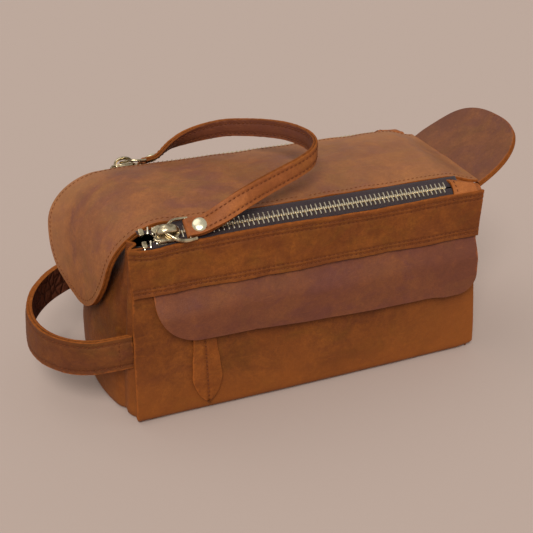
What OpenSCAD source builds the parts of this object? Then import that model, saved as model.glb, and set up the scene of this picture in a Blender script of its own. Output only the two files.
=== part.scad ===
// Leather shaving kit bag: a soft box with a zipped lid, a strap between the two zip sliders,
// a drooping left flap, a right ear, a side handle and a flapped, zipped front pocket.
// Frame: origin at the centre of the base, X along the bag, Y to the back, Z up. Millimetres.

/* [Body] */
// Length of the bag at its base
base_l = 270; // [250:1:290]
// Length of the bag at its top edges
top_l = 257; // [250:1:262]
// Depth of the bag at its base
base_d = 134; // [128:1:138]
// Depth of the bag at its top edges
top_d = 121.4; // [119:0.2:124]
// Height of the front and back walls
wall_h = 129; // [127:1:131]
// Thickness of one layer of leather
hide_t = 2; // [1.6:0.2:2]
// How far the left gusset bulges out past the base
bulge_left = 17; // [8:1:18]
// How far the right gusset bulges out past the base
bulge_right = 5; // [3:1:8]
// Height of the stitched bands along the top edges
band_h = 33; // [30:1:38]

/* [Lid] */
// Half of the lid's width
lid_hw = 47.5; // [46:0.5:48]
// Height of the lid's top face at its long edges
lid_z = 138.3; // [138:0.1:138.6]
// Rise of the lid's crown above its long edges
lid_crown = 5; // [3:0.5:6]
// Position along the bag where the lid bends to open
lid_bend_x = 106; // [104:1:110]
// Length of the left flap past its bend line
flap_l = 93; // [80:1:96]
// Bend radius of the left flap
flap_r = 39; // [36:1:44]
// Angle that the left flap bends through
flap_bend = 83; // [70:1:86]
// Length of the right ear
ear_l = 50.5; // [40:0.5:54]
// Angle of the right ear above level
ear_tilt = 34; // [20:1:45]

/* [Zips] */
// Distance of each long zip's centreline from the middle of the bag
zip_y = 55.7; // [55.5:0.1:56]
// Height of each long zip's centreline
zip_z = 133.6; // [133.4:0.1:133.8]
// Slope of the long zips across their width
zip_tilt = 32; // [30:1:34]
// Spacing of the teeth along one side
tooth_pitch = 3.4; // [3:0.1:4]
// Position of the sliders along the bag when the zips are closed
slider_x = -102; // [-104:1:-100]

/* [Handles] */
// Width of the top strap
strap_w = 13; // [10:0.5:14]
// Thickness of the top strap
strap_t = 3; // [2:0.2:3.4]
// Width of the side handle
handle_w = 24.5; // [20:0.5:28]
// Reach of the side handle past the left corner seams
handle_reach = 55.5; // [50:0.5:60]

/* [Pocket] */
// Height of the pocket zip above the base
pocket_z = 78; // [76:1:80]
// Length of the pocket opening
pocket_l = 212; // [200:1:216]
// Position of the pocket slider along the bag when the pocket is closed
tab_x = -82; // [-84:1:-80]

/* [Hidden] */

leather = "sienna";
dark_leather = "saddlebrown";
cloth = "dimgray";
tape_colour = "darkslategray";
brass = "darkkhaki";

big = 400;                      // larger than the bag, for cutting blocks
corner_x = 8;                   // corner radii along X, Y and Z
corner_y = 6;
corner_z = 5;
seam_in = 4;                    // how far the end seams lie inside the outer ends
tape_t = 0.5;                   // zip tape thickness
cloth_t = 0.6;                  // lining thickness
lining_gap = 2.8;               // from the outer surface to the lining
pocket_room = 8.6;              // from the front surface to the lining behind the pocket bag
front_lean = atan((base_d - top_d) / 2 / (wall_h - corner_z));
band_z = wall_h - band_h;       // lower edge of the bands
fold_z = 106;                   // where the left end's top part turns in
fold_x = -111;                  // how far in its top edge reaches
fold_top = 126;                 // height of that edge

chain_hw = 3.9;                 // half of the width of a closed zip chain
chain_gap = 1;                  // each tooth row stops this far from the zip's centreline
tooth_w = 1.5;                  // one tooth along the zip
tooth_h = 2.6;                  // one tooth across its thickness
zip_x0 = slider_x - 8;          // left end of the teeth
zip_x1 = 104;                   // right end of the teeth
tooth_n = floor((zip_x1 - zip_x0) / tooth_pitch);

crown_x = slider_x + 1;         // where the shackle turns in the slider's crown
crown_z = 140;
pin_x = slider_x + 14;          // where the strap turns in the shackle
pull_y = zip_y + 2.8;           // the shackles and the strap's ends hang a little outside the zips
wire_r = 1.1;
rivet_in = 7.3;                 // from the cross pin to the rivet
tape_up = 7;                    // from the teeth's centreline to the bend in the lid's tape
cover_x = 128.5;                // right end of the patches over the zips' ends
cover_hw = 7.4;                 // from the zip's centreline to the patch's lower edge

ear_x = 132.1;
ear_z = 132.9;
ear_hw = 46.8;
ear_y = -6.7;
flap_phi = 13.3;                // the flap's bend line is this far off square
flap_x0 = -110.6;               // where the bend line crosses the middle of the bag
flap_clear_x = -97;             // nothing under the lid goes left of this, clear of the flap's bend
handle_x = -base_l / 2 + 0.5;   // where the side handle bends at the corner seams
handle_z = 55;
handle_hw = 62.4;
handle_swing = 36;
handle_droop = 6.5;             // the loop hangs this far below level

// ---------- shared shapes ----------

// The bag's rounded box, drawn in by inset on every side, up to a given height
module body_form(inset = 0, top = wall_h) {
  hull() for (sx = [-1, 1], sy = [-1, 1]) {
    translate([sx * (base_l / 2 - corner_x), sy * (base_d / 2 - corner_y), corner_z])
      scale([corner_x - inset, corner_y - inset, corner_z - inset]) sphere(1, $fn = 32);
    translate([sx * (top_l / 2 - corner_x), sy * (top_d / 2 - corner_y), top - 1])
      scale([corner_x - inset, corner_y - inset, 1]) cylinder(r = 1, h = 1, $fn = 32);
  }
}

// The block between the two end seams, which lean in with the ends
module between_seams(reach = big) {
  rotate([90, 0, 0]) linear_extrude(reach, center = true)
    polygon([[-base_l / 2 + seam_in, -1], [base_l / 2 - seam_in, -1],
             [top_l / 2 - seam_in, wall_h + 1], [-top_l / 2 + seam_in, wall_h + 1]]);
}

// Children in the frame of the front wall: local -Y points straight out of the leather
module on_front() {
  translate([0, -base_d / 2, corner_z]) rotate([-front_lean, 0, 0])
    translate([0, 0, -corner_z]) children();
}

// Children in the frame of the front long zip: local Y runs up to the lid, local Z points out
module on_zip() {
  translate([0, -zip_y, zip_z]) rotate([zip_tilt, 0, 0]) children();
}

module at_back() {
  mirror([0, 1, 0]) children();
}

// A box given by its two corners
module box(a, b) {
  translate(a) cube(b - a);
}

// ---------- body ----------

module body_wrap() {
  color(leather) difference() {
    intersection() {
      body_form();
      between_seams();
    }
    body_form(hide_t, wall_h + 0.5);
    on_front() box([pocket_x0, -5, pocket_z - 5], [pocket_x1, 5, pocket_z + 5]);
  }
}

// One end wall, drawn for the right end, which bulges out past the base by reach
module gusset(reach) {
  difference() {
    gusset_form(0, reach);
    gusset_form(hide_t, reach);
    between_seams();
    translate([-big, -big / 2, -big / 2]) cube([big + top_l / 2 - 10, big, big]);
    box([0, -big, wall_h], [big, big, wall_h + big]);
  }
}

// Heights up the end wall, and the share of the bulge at each
gusset_swell = [[0.8, 0.8], [20, 0.94], [40, 1], [62, 0.7], [85, 0.3], [112, 0.1]];

module gusset_form(inset, reach) {
  hull() {
    body_form(inset, wall_h + inset / 4);
    for (level = gusset_swell) translate([base_l / 2 - 8, 0, max(level[0], inset + 0.8)])
      scale([8 + reach * level[1] - inset, 58 - inset, 1]) cylinder(r = 1, h = 0.2, $fn = 64);
  }
}

module left_wall() {
  mirror([1, 0, 0]) gusset(bulge_left);
}

// The left end wall: its upper middle part is folded in to make room for the hanging flap
module left_gusset() {
  fold_hw = 49;
  color(leather) {
    difference() {
      left_wall();
      box([-big, -fold_hw, fold_z], [0, fold_hw, big]);
    }
    hull() {
      intersection() {
        left_wall();
        box([-big, -fold_hw - 0.5, fold_z - 2], [0, fold_hw + 0.5, fold_z]);
      }
      box([fold_x - hide_t, -fold_hw + 4, fold_top - 1], [fold_x, fold_hw - 4, fold_top]);
    }
  }
}

module right_gusset() {
  color(leather) gusset(bulge_right);
}

module band() {
  low_x = 126.4;
  high_x = 128.4;
  difference() {
    intersection() {
      body_form(-hide_t, wall_h + 0.01);
      translate([0, -base_d / 2, 0]) rotate([90, 0, 0]) linear_extrude(30, center = true)
        polygon([[-low_x, band_z], [low_x, band_z], [high_x, wall_h + 1], [-high_x, wall_h + 1]]);
    }
    body_form(0, wall_h + 1);
    box([-big, -base_d / 2 + corner_y + 5, -big], [big, big, big]);
  }
}

module front_band() {
  color(leather) band();
}

module back_band() {
  color(leather) at_back() band();
}

// Patch over the right end of a long zip, between the band and the fixed end of the lid
module end_cover() {
  on_zip() translate([0, 0, 0.5]) linear_extrude(1.5) difference() {
    polygon([[zip_x1 + 1, -cover_hw], [cover_x - 6.5, -cover_hw], [cover_x - 0.5, -4], [cover_x, 8], [zip_x1 + 3, 8]]);
    translate([zip_x1 - 4, 0]) circle(r = 7, $fn = 48);
  }
}

module front_end_cover() {
  color(leather) end_cover();
}

module back_end_cover() {
  color(leather) at_back() end_cover();
}

// The arched cross section of the lid, as a solid bar along X, lowered by drop
module lid_arch(drop, x0, x1, hw = lid_hw) {
  arch_r = (lid_hw * lid_hw + lid_crown * lid_crown) / (2 * lid_crown);
  intersection() {
    translate([x0, 0, lid_z + lid_crown - arch_r]) rotate([0, 90, 0])
      cylinder(r = arch_r - drop, h = x1 - x0, $fn = 200);
    box([x0, -hw, lid_z - 20], [x1, hw, lid_z + 20]);
  }
}

// Right end of the lid's leather, which stays with the bag and slopes down to the ear's crease
module lid_heel() {
  color(leather) difference() {
    heel_form(0);
    translate([-1, 0, 0]) heel_form(hide_t);
  }
}

module heel_form(drop) {
  hull() {
    intersection() {
      lid_arch(drop, lid_bend_x + 0.4, lid_bend_x + 16);
      box([0, -big, lid_z - hide_t - 1], [big, big, big]);
    }
    box([lid_bend_x + 0.4, -lid_hw + drop, lid_z - hide_t - 3], [ear_x - 1, lid_hw - drop, ear_z - drop]);
  }
}

module main_lining() {
  color(cloth) difference() {
    lining_form(0, wall_h - 3);
    lining_form(cloth_t, wall_h);
  }
}

module lining_form(inset, top) {
  intersection() {
    body_form(lining_gap + inset, wall_h);
    on_front() box([-big / 2, pocket_room + inset, -50], [big / 2, big, big]);
    difference() {
      box([-big / 2, -big / 2, -1], [big / 2, big / 2, top]);
      box([-big, -big, fold_z - 4], [fold_x + 2, big, big]);
    }
  }
}

// ---------- long zips ----------

// Tape half sewn to the wall: out from the teeth, then down between the wall and the lining
module body_tape() {
  start = chain_hw + 0.3;
  edge_y = -zip_y - start * cos(zip_tilt);
  edge_z = zip_z - start * sin(zip_tilt);
  wall_y = -top_d / 2 + hide_t + 0.05;
  foot_y = wall_y - 0.65;
  foot_z = wall_h - 12;
  sewn_t = tape_t - 0.1;
  color(tape_colour) translate([zip_x0 - 6, 0, 0]) rotate([90, 0, 90]) linear_extrude(zip_x1 - zip_x0 + 12)
    polygon([[edge_y, edge_z + tape_t / 2], [edge_y - 0.8, edge_z - 0.5], [wall_y - 0.15, wall_h + 0.3],
             [wall_y - 0.15, wall_h + 0.1], [wall_y, wall_h], [foot_y, foot_z], [foot_y + sewn_t, foot_z],
             [wall_y + sewn_t, wall_h], [edge_y, edge_z - tape_t / 2]]);
}

// Tape half sewn to the lid: up from the teeth past the slider, then in under the lid's edge
module lid_tape() {
  under = lid_z - hide_t - 0.15;
  turn_y = -zip_y + tape_up * cos(zip_tilt);
  turn_z = zip_z + tape_up * sin(zip_tilt);
  sewn_y = -lid_hw + 8;
  color(tape_colour) {
    on_zip() box([zip_x0 - 6, chain_hw + 0.1, -tape_t / 2], [zip_x1, tape_up, tape_t / 2]);
    translate([flap_clear_x, 0, 0]) rotate([90, 0, 90]) linear_extrude(zip_x1 - flap_clear_x)
      polygon([[turn_y - 0.2, turn_z], [turn_y + 1.6, under], [sewn_y, under], [sewn_y, under - tape_t],
               [turn_y + 1.3, under - tape_t], [turn_y - 0.4, turn_z - 0.6]]);
  }
}

// One row of teeth on its cord, on the lid's side of the zip's centreline
module tooth_row() {
  translate([zip_x0, chain_hw - 0.9, -0.6]) cube([zip_x1 - zip_x0, 0.9, 1.2]);
  for (i = [0 : tooth_n - 1])
    translate([zip_x0 + i * tooth_pitch + 0.6, chain_gap, -tooth_h / 2])
      cube([tooth_w, chain_hw - chain_gap - 0.4, tooth_h]);
}

module body_teeth() {
  color(brass) on_zip() mirror([0, 1, 0]) tooth_row();
}

module lid_teeth() {
  color(brass) on_zip() translate([tooth_pitch / 2, 0, 0]) tooth_row();
}

module stop_block(x, side) {
  on_zip() translate([x, side > 0 ? chain_gap : -chain_hw, -1.5]) cube([3, chain_hw - chain_gap, 3]);
}

module body_stops_front() {
  stop_block(zip_x0 - 3.2, -1);
}

module front_body_tape() { body_tape(); }
module back_body_tape() { at_back() body_tape(); }
module front_body_teeth() { body_teeth(); }
module back_body_teeth() { at_back() body_teeth(); }
module front_lid_tape() { lid_tape(); }
module back_lid_tape() { at_back() lid_tape(); }
module front_lid_teeth() { lid_teeth(); }
module back_lid_teeth() { at_back() lid_teeth(); }

module body_zip_stops() {
  color(brass) {
    body_stops_front();
    at_back() body_stops_front();
  }
}

module lid_zip_stops() {
  color(brass) {
    stop_block(zip_x0 - 3.2, 1);
    at_back() stop_block(zip_x0 - 3.2, 1);
  }
}

// Slider: a full top plate, a bottom plate on the lid's side, a nose post and a crown
module slider() {
  color(brass) difference() {
    union() {
      on_zip() {
        translate([0, 0, 1.7]) linear_extrude(1.2) slider_outline();
        box([slider_x - 7, 5.2, 0.7], [slider_x + 6, 6.3, 1.8]);
        box([slider_x - 7, -6.3, 0.7], [slider_x + 6, -5.2, 1.8]);
        box([slider_x - 7, 0, -2.9], [slider_x + 7, 6.3, -1.7]);
        box([slider_x - 7, 5.2, -1.8], [slider_x + 6, 6.3, -0.7]);
        box([slider_x - 7, -0.65, -2], [slider_x - 4, 0.65, 2]);
      }
      translate([crown_x, -zip_y, 0]) crown();
    }
    translate([crown_x, -zip_y, crown_z]) rotate([90, 0, 0])
      cylinder(r = wire_r + 0.3, h = 20, center = true, $fn = 32);
  }
}

module slider_outline() {
  translate([slider_x - 8, -6.3]) square([11, 12.6]);
  translate([slider_x + 1, 0]) intersection() {
    circle(r = 7.5, $fn = 48);
    translate([0, -6.3]) square([8, 12.6]);
  }
}

// Upright lug with a cross hole for the shackle
module crown() {
  translate([0, 0, crown_z]) rotate([90, 0, 0]) cylinder(r = 2.9, h = 3.4, center = true, $fn = 32);
  box([-2.9, -1.7, zip_z + 2.8], [2.9, 1.7, crown_z]);
}

module front_slider() { slider(); }
module back_slider() { at_back() slider(); }

// Wire shackle: a bow through the slider's crown and two legs that hold the cross pin
module shackle() {
  leg_y = strap_w / 2 + 1.4 + wire_r;
  color(brass) translate([0, -pull_y, crown_z]) {
    translate([crown_x, 0, 0]) rotate([90, 0, 0])
      cylinder(r = wire_r - 0.1, h = 2 * leg_y, center = true, $fn = 24);
    for (s = [-1, 1]) difference() {
      union() {
        translate([crown_x - wire_r, s * leg_y, 0]) rotate([0, 90, 0])
          cylinder(r = wire_r, h = pin_x - crown_x + 3 + wire_r, $fn = 24);
        translate([pin_x, s * leg_y, 0]) rotate([90, 0, 0])
          cylinder(r = 1.9, h = 2 * wire_r, center = true, $fn = 32);
      }
      translate([pin_x, s * leg_y, 0]) rotate([90, 0, 0])
        cylinder(r = 0.95, h = 10, center = true, $fn = 32);
    }
  }
}

module shackle_pin() {
  color(brass) translate([pin_x, -pull_y, crown_z]) rotate([90, 0, 0])
    cylinder(r = 0.9, h = strap_w + 2.8 + 4 * wire_r, center = true, $fn = 32);
}

module front_shackle() { shackle(); }
module back_shackle() { at_back() shackle(); }
module front_shackle_pin() { shackle_pin(); }
module back_shackle_pin() { at_back() shackle_pin(); }

// ---------- top strap ----------

// Centreline of the strap, front end to rear end, chosen by hand
strap_route = [[-74.8, -59.3, 141.1], [-67, -60.3, 144.4], [-53, -57.5, 149.8], [-38, -53.8, 154.3],
               [-23, -50.4, 158.2], [-8, -46.8, 161.8], [3, -41.4, 164.4], [10, -32, 166], [12, -19, 167],
               [10, -5, 166.5], [5, 10, 165.2], [-4, 25, 163], [-14, 37.5, 160.5], [-26, 48, 158],
               [-40, 55, 154.5], [-54, 59, 150.6], [-66, 60.2, 146.4], [-74.8, 59.3, 141.1]];

// How far the strap's broad face is laid back from upright, at each point of the route
strap_lay = [84, 70, 48, 28, 12, 3, 0, 0, 0, 0, 0, 0, 3, 12, 28, 48, 70, 84];

function unit(v) = v / norm(v);
function near(list, i) = list[max(0, min(len(list) - 1, i))];
function spline(a, b, c, d, t) =
  0.5 * (2 * b + (c - a) * t + (2 * a - 5 * b + 4 * c - d) * t * t + (3 * b - a - 3 * c + d) * t * t * t);
function along(list, u) =
  let (i = min(floor(u), len(list) - 2))
  spline(near(list, i - 1), list[i], list[i + 1], near(list, i + 2), u - i);

// Corners of the strap's section at route position u
function strap_ring(u) =
  let (p = along(strap_route, u),
       d = unit(along(strap_route, min(u + 0.1, len(strap_route) - 1)) - along(strap_route, max(u - 0.1, 0))),
       out = unit(cross(d, [0, 0, 1])),
       up = cross(out, d),
       lay = along(strap_lay, u),
       wide = up * cos(lay) - out * sin(lay),
       thick = out * cos(lay) + up * sin(lay))
  [for (c = [[-1, -1], [1, -1], [1, 1], [-1, 1]])
     p + wide * c[0] * strap_w / 2 + thick * c[1] * strap_t / 2];

// A solid through a list of rings with the same number of corners
module loft(rings) {
  n = len(rings[0]);
  m = len(rings);
  polyhedron(
    points = [for (ring = rings) for (p = ring) p],
    faces = concat(
      [[for (k = [0 : n - 1]) k]],
      [for (i = [0 : m - 2]) for (k = [0 : n - 1])
         for (tri = [[(i + 1) * n + (k + 1) % n, i * n + (k + 1) % n, i * n + k],
                     [(i + 1) * n + k, (i + 1) * n + (k + 1) % n, i * n + k]]) tri],
      [[for (k = [0 : n - 1]) (m - 1) * n + n - 1 - k]]),
    convexity = 6);
}

// Folded strap end: an eye round the cross pin and a flat tail with the rivet hole
module strap_end() {
  translate([pin_x, -pull_y, crown_z]) difference() {
    union() {
      rotate([90, 0, 0]) cylinder(r = 2.6, h = strap_w, center = true, $fn = 48);
      box([0, -strap_w / 2, -1.6], [14, strap_w / 2, 1.6]);
    }
    rotate([90, 0, 0]) cylinder(r = 1.1, h = big, center = true, $fn = 32);
    translate([rivet_in, 0, 0]) cylinder(r = 1.75, h = 20, center = true, $fn = 32);
  }
}

module top_strap() {
  steps = 56;
  last = len(strap_route) - 1;
  color(leather) {
    loft([for (i = [0 : steps]) strap_ring(i * last / steps)]);
    strap_end();
    at_back() strap_end();
  }
}

module rivet() {
  color(brass) translate([pin_x + rivet_in, -pull_y, crown_z]) {
    cylinder(r = 1.55, h = 3.5, center = true, $fn = 32);
    translate([0, 0, 1.7]) cylinder(r = 4.9, h = 0.9, $fn = 48);
    translate([0, 0, -2.5]) cylinder(r = 3.6, h = 0.8, $fn = 48);
  }
}

module front_rivet() { rivet(); }
module back_rivet() { at_back() rivet(); }

// ---------- lid ----------

module flap_cut() {
  translate([flap_x0, 0, 0]) rotate([0, 0, flap_phi]) box([-big, -big, -big], [0.3, big, big]);
}

module lid_panel() {
  color(leather) difference() {
    lid_arch(0, -130, lid_bend_x);
    translate([-1, 0, 0]) lid_arch(hide_t, -130, lid_bend_x + 2);
    flap_cut();
  }
}

module lid_lining() {
  color(cloth) difference() {
    lid_arch(hide_t + 0.2, -130, lid_bend_x - 1, lid_hw - 9);
    translate([-1, 0, 0]) lid_arch(hide_t + 0.2 + cloth_t, -130, lid_bend_x + 2, lid_hw);
    flap_cut();
  }
}

// Superellipse outline: half-width at distance a along a flap that starts to round off at start
function round_hw(a, start, length, hw, power) =
  a <= start ? hw : hw * pow(max(0, 1 - pow((a - start) / (length - start), power)), 1 / power);

// A point of the left flap: at distance x left of the middle bend line and y across, depth below the face
function flap_point(x, y, depth) =
  let (u = x * cos(flap_phi) - y * sin(flap_phi),
       v = x * sin(flap_phi) + y * cos(flap_phi),
       bend = min(max(u / flap_r * 180 / PI, 0), flap_bend),
       rest = max(u - flap_r * flap_bend * PI / 180, 0),
       r = flap_r - depth,
       h = u < 0 ? u : r * sin(bend) + rest * cos(bend),
       k = u < 0 ? depth : flap_r - r * cos(bend) + rest * sin(bend),
       dome = lid_crown * (1 - pow(y / lid_hw, 2)) * (1 - min(1, max(0, u / 60))))
  [flap_x0 - h * cos(flap_phi) - v * sin(flap_phi),
   -h * sin(flap_phi) + v * cos(flap_phi),
   lid_z + dome - k];

flap_round = 18;                // where the flap's sides start to round in
flap_steps_a = 34;
flap_steps_w = 16;

module flap_layer(top, bottom) {
  rings = [for (i = [0 : flap_steps_a]) flap_ring(i, top, bottom)];
  loft(rings);
}

// One cross section of a flap layer, all round: the top face from front to back, then the bottom face
function flap_ring(i, top, bottom) =
  let (a = (flap_l - 0.02) * (1 - pow(1 - i / flap_steps_a, 1.6)),
       hw = round_hw(a, flap_round, flap_l, 46.8, 3.1))
  concat([for (j = [0 : flap_steps_w]) let (y = hw * (2 * j / flap_steps_w - 1)) flap_at(a, y, top)],
         [for (j = [0 : flap_steps_w]) let (y = hw * (1 - 2 * j / flap_steps_w)) flap_at(a, y, bottom)]);

// Rows start on the slanted bend line and square up as they reach the tip
function flap_at(a, y, depth) = flap_point(a + y * tan(flap_phi) * (1 - min(1, a / 50)), y, depth);

module left_flap_outer() {
  color(leather) flap_layer(0, hide_t - 0.05);
}

module left_flap_inner() {
  color(leather) flap_layer(hide_t + 0.05, 2 * hide_t);
}

// ---------- right ear ----------

function ear_edge(sign) = [for (i = [0 : 40])
  let (w = 90 * i / 40)
  [sign > 0 ? ear_l * pow(sin(w), 2 / 2.48) : ear_l * pow(cos(w), 2 / 2.48),
   sign * ear_hw * pow(sign > 0 ? cos(w) : sin(w), 2 / 2.48)]];

module ear_layer() {
  translate([ear_x, ear_y, ear_z]) rotate([0, -ear_tilt, 0])
    linear_extrude(hide_t - 0.1) intersection() {
      polygon(concat(ear_edge(1), ear_edge(-1)));
      translate([0.6, -big / 2]) square([big, big]);
    }
}

module right_ear_outer() {
  color(leather) ear_layer();
}

module right_ear_inner() {
  color(leather) translate([hide_t * sin(ear_tilt), 0, -hide_t * cos(ear_tilt)]) ear_layer();
}

// ---------- side handle ----------

// Half loop seen from above, from its front end to its rear end, drawn in by inset
function handle_line(inset) = [for (i = [0 : 48])
  let (w = -90 + 180 * i / 48)
  [-(handle_reach - inset) * cos(w), (handle_hw - inset) * sin(w)]];

module handle_layer(outer, inner) {
  line_in = handle_line(inner);
  slope = tan(handle_swing + 4);
  intersection() {
    translate([handle_x, 0, handle_z]) rotate([0, -handle_droop, 0])
      linear_extrude(handle_w, center = true)
        polygon(concat(handle_line(outer), [for (i = [0 : 48]) line_in[48 - i]]));
    translate([handle_x - 0.4, 0, handle_z]) rotate([90, 0, 0]) linear_extrude(big, center = true)
      polygon([[0, 0], [-slope * handle_w, -handle_w], [-big, -handle_w], [-big, handle_w],
               [-slope * handle_w, handle_w]]);
  }
}

module side_handle_outer() {
  color(leather) handle_layer(0, hide_t - 0.05);
}

module side_handle_inner() {
  color(leather) handle_layer(hide_t + 0.05, 2 * hide_t);
}

// Fixed ends of the handle, sewn flat on the corners
module handle_stubs() {
  color(leather) difference() {
    for (s = [-1, 1]) translate([handle_x + 0.2, s * (handle_hw - hide_t), handle_z - handle_w / 2])
      translate([0, -hide_t, 0]) cube([5, 2 * hide_t, handle_w]);
    body_form(-0.05);
    mirror([1, 0, 0]) gusset_form(-0.05, bulge_left);
  }
}

// ---------- front pocket ----------

pocket_x0 = -97;
pocket_x1 = pocket_x0 + pocket_l;

module pocket_bag() {
  x0 = pocket_x0 - 12;
  x1 = pocket_x1 + 8;
  color(cloth) on_front() difference() {
    box([x0, lining_gap, 14], [x1, pocket_room - 0.2, 95]);
    box([x0 + cloth_t, lining_gap + cloth_t, 14 + cloth_t], [x1 - cloth_t, pocket_room - 0.2 - cloth_t, 94]);
    box([pocket_x0, 0, pocket_z - 5], [pocket_x1, pocket_room / 2, pocket_z + 5]);
  }
}

module pocket_zip_tapes() {
  color(tape_colour) on_front() for (s = [-1, 1])
    translate([pocket_x0 - 5, hide_t + 0.1, pocket_z + (s > 0 ? 2.6 : -14)])
      cube([pocket_l + 10, tape_t, 11.4]);
}

module pocket_zip_teeth() {
  pitch = 2.8;
  color(brass) on_front() for (s = [-1, 1]) {
    translate([pocket_x0, 1.9, pocket_z + (s > 0 ? 2 : -2.6)]) cube([pocket_l, 0.9, 0.6]);
    for (i = [0 : floor(pocket_l / pitch) - 1])
      translate([pocket_x0 + (i + (s > 0 ? 0.2 : 0.7)) * pitch, 1.5, pocket_z + (s > 0 ? 0.8 : -2.4)])
        cube([1.3, 1.7, 1.6]);
  }
}

module pocket_slider() {
  color(brass) on_front() {
    box([tab_x - 5.5, -0.9, pocket_z - 3.8], [tab_x + 5.5, 0.2, pocket_z + 3.8]);
    box([tab_x - 5.5, 4, pocket_z - 3.8], [tab_x + 5.5, 4.8, pocket_z + 3.8]);
    box([tab_x - 5.5, 0, pocket_z - 0.5], [tab_x - 3, 4.4, pocket_z + 0.5]);
    translate([tab_x, 0, pocket_z]) rotate([90, 0, 0]) {
      cylinder(r = 1.2, h = 3.6, $fn = 32);
      translate([0, 0, 3.1]) cylinder(r = 2.1, h = 0.8, $fn = 32);
    }
  }
}

// Swivel plate: an eye on the slider's stud and a slot for the leather
module pocket_link() {
  color(brass) on_front() translate([tab_x, -1.2, pocket_z])
    rotate([90, 0, 0]) linear_extrude(1.6) difference() {
    union() {
      circle(r = 3.4, $fn = 48);
      translate([-4.5, -10.5]) square([9, 8.5]);
    }
    circle(r = 1.45, $fn = 48);
    translate([-3.2, -8.7]) square([6.4, 3]);
  }
}

// Half-width of the leaf tab at distance s up from its tip
function leaf_hw(s) = 10.5 * pow(sin(90 * min(1, s / 21)), 0.62) * (1 - 0.42 * pow(max(0, s - 21) / 42, 1.1));

module pocket_tab() {
  tip = 4.5;
  top = pocket_z - 12.4;
  n = 44;
  heights = [for (i = [0 : n]) (top - tip) * pow(i / n, 1.5)];
  color(dark_leather) on_front() difference() {
    union() {
      translate([tab_x, -0.35, 0]) rotate([90, 0, 0]) linear_extrude(3.1)
        polygon(concat([for (s = heights) [leaf_hw(s), tip + s]],
                       [for (i = [0 : n - 1]) [-leaf_hw(heights[n - i]), tip + heights[n - i]]]));
      box([tab_x - 2.9, -4.3, top - 0.5], [tab_x + 2.9, -0.35, pocket_z - 6.1]);
    }
    box([tab_x - 20, -3.2, pocket_z - 11.2], [tab_x + 20, -0.9, pocket_z - 8.3]);
    box([tab_x - 20, -2, 10], [tab_x + 20, -1.8, pocket_z - 10]);
  }
}

// One layer of leather that leaves the band's lower edge, steps out over the zip and hangs down
module pocket_flap() {
  low = 50;
  t = hide_t - 0.2;
  color(dark_leather) on_front() intersection() {
    translate([-130, 0, 0]) rotate([90, 0, 90]) linear_extrude(big)
      polygon([[-0.3, band_z - 0.4], [-0.3, band_z - 1.6], [-4.9, 86], [-4.9, low], [-4.9 - t, low],
               [-4.9 - t, 86.6], [-2, band_z - 0.4]]);
    translate([0, 20, 0]) rotate([90, 0, 0]) linear_extrude(60) pocket_flap_outline();
  }
}

module pocket_flap_outline() {
  left = -114;
  right = 126.5;
  round_l = 30;
  round_r = 14;
  hull() {
    translate([left, band_z - 1]) square([right - left, 1]);
    translate([left + round_l, 60 + round_l]) circle(r = round_l, $fn = 96);
    translate([right - round_r, 52.6 + round_r]) circle(r = round_r, $fn = 64);
  }
}

body_wrap();
left_gusset();
right_gusset();
front_band();
back_band();
front_end_cover();
back_end_cover();
lid_heel();
main_lining();
front_body_tape();
back_body_tape();
front_body_teeth();
back_body_teeth();
body_zip_stops();
pocket_bag();
pocket_zip_tapes();
pocket_zip_teeth();
handle_stubs();
lid_panel();
lid_lining();
front_lid_tape();
back_lid_tape();
front_lid_teeth();
back_lid_teeth();
lid_zip_stops();
left_flap_outer();
left_flap_inner();
front_slider();
back_slider();
front_shackle();
back_shackle();
front_shackle_pin();
back_shackle_pin();
top_strap();
front_rivet();
back_rivet();
right_ear_outer();
right_ear_inner();
side_handle_outer();
side_handle_inner();
pocket_flap();
pocket_slider();
pocket_link();
pocket_tab();
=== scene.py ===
"""Looks of the leather shaving kit bag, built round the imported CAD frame."""
import math
import bpy
import numpy as np
from mathutils import Matrix, Vector


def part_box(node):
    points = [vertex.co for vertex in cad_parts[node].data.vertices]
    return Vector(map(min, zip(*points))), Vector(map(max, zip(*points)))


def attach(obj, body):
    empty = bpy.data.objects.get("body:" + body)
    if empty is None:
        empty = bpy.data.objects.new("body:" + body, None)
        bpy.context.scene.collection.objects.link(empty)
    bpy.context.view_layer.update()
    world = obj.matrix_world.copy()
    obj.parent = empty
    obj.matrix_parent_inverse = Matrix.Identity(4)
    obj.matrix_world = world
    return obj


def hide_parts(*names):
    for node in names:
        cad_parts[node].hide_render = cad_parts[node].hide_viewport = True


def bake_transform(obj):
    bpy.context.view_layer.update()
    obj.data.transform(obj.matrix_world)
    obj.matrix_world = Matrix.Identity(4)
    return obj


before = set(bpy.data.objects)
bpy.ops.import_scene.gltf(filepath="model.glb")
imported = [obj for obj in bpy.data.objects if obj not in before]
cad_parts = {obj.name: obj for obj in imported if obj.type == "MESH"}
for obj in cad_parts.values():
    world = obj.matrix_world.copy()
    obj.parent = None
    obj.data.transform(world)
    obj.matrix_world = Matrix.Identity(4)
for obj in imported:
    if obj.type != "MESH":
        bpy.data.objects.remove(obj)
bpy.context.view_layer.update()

MM = 0.001
HIDE = 2.0                      # thickness of one layer of leather, mm
UP, FRONT = (0, 0, 1), (0, -1, 0)
SIDES = ((-1, "front"), (1, "back"))

# ---------- sizes, in mm, read from the frame or matching part.scad ----------


def box_mm(node):
    lo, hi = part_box(node)
    return np.array(lo) / MM, np.array(hi) / MM


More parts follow.
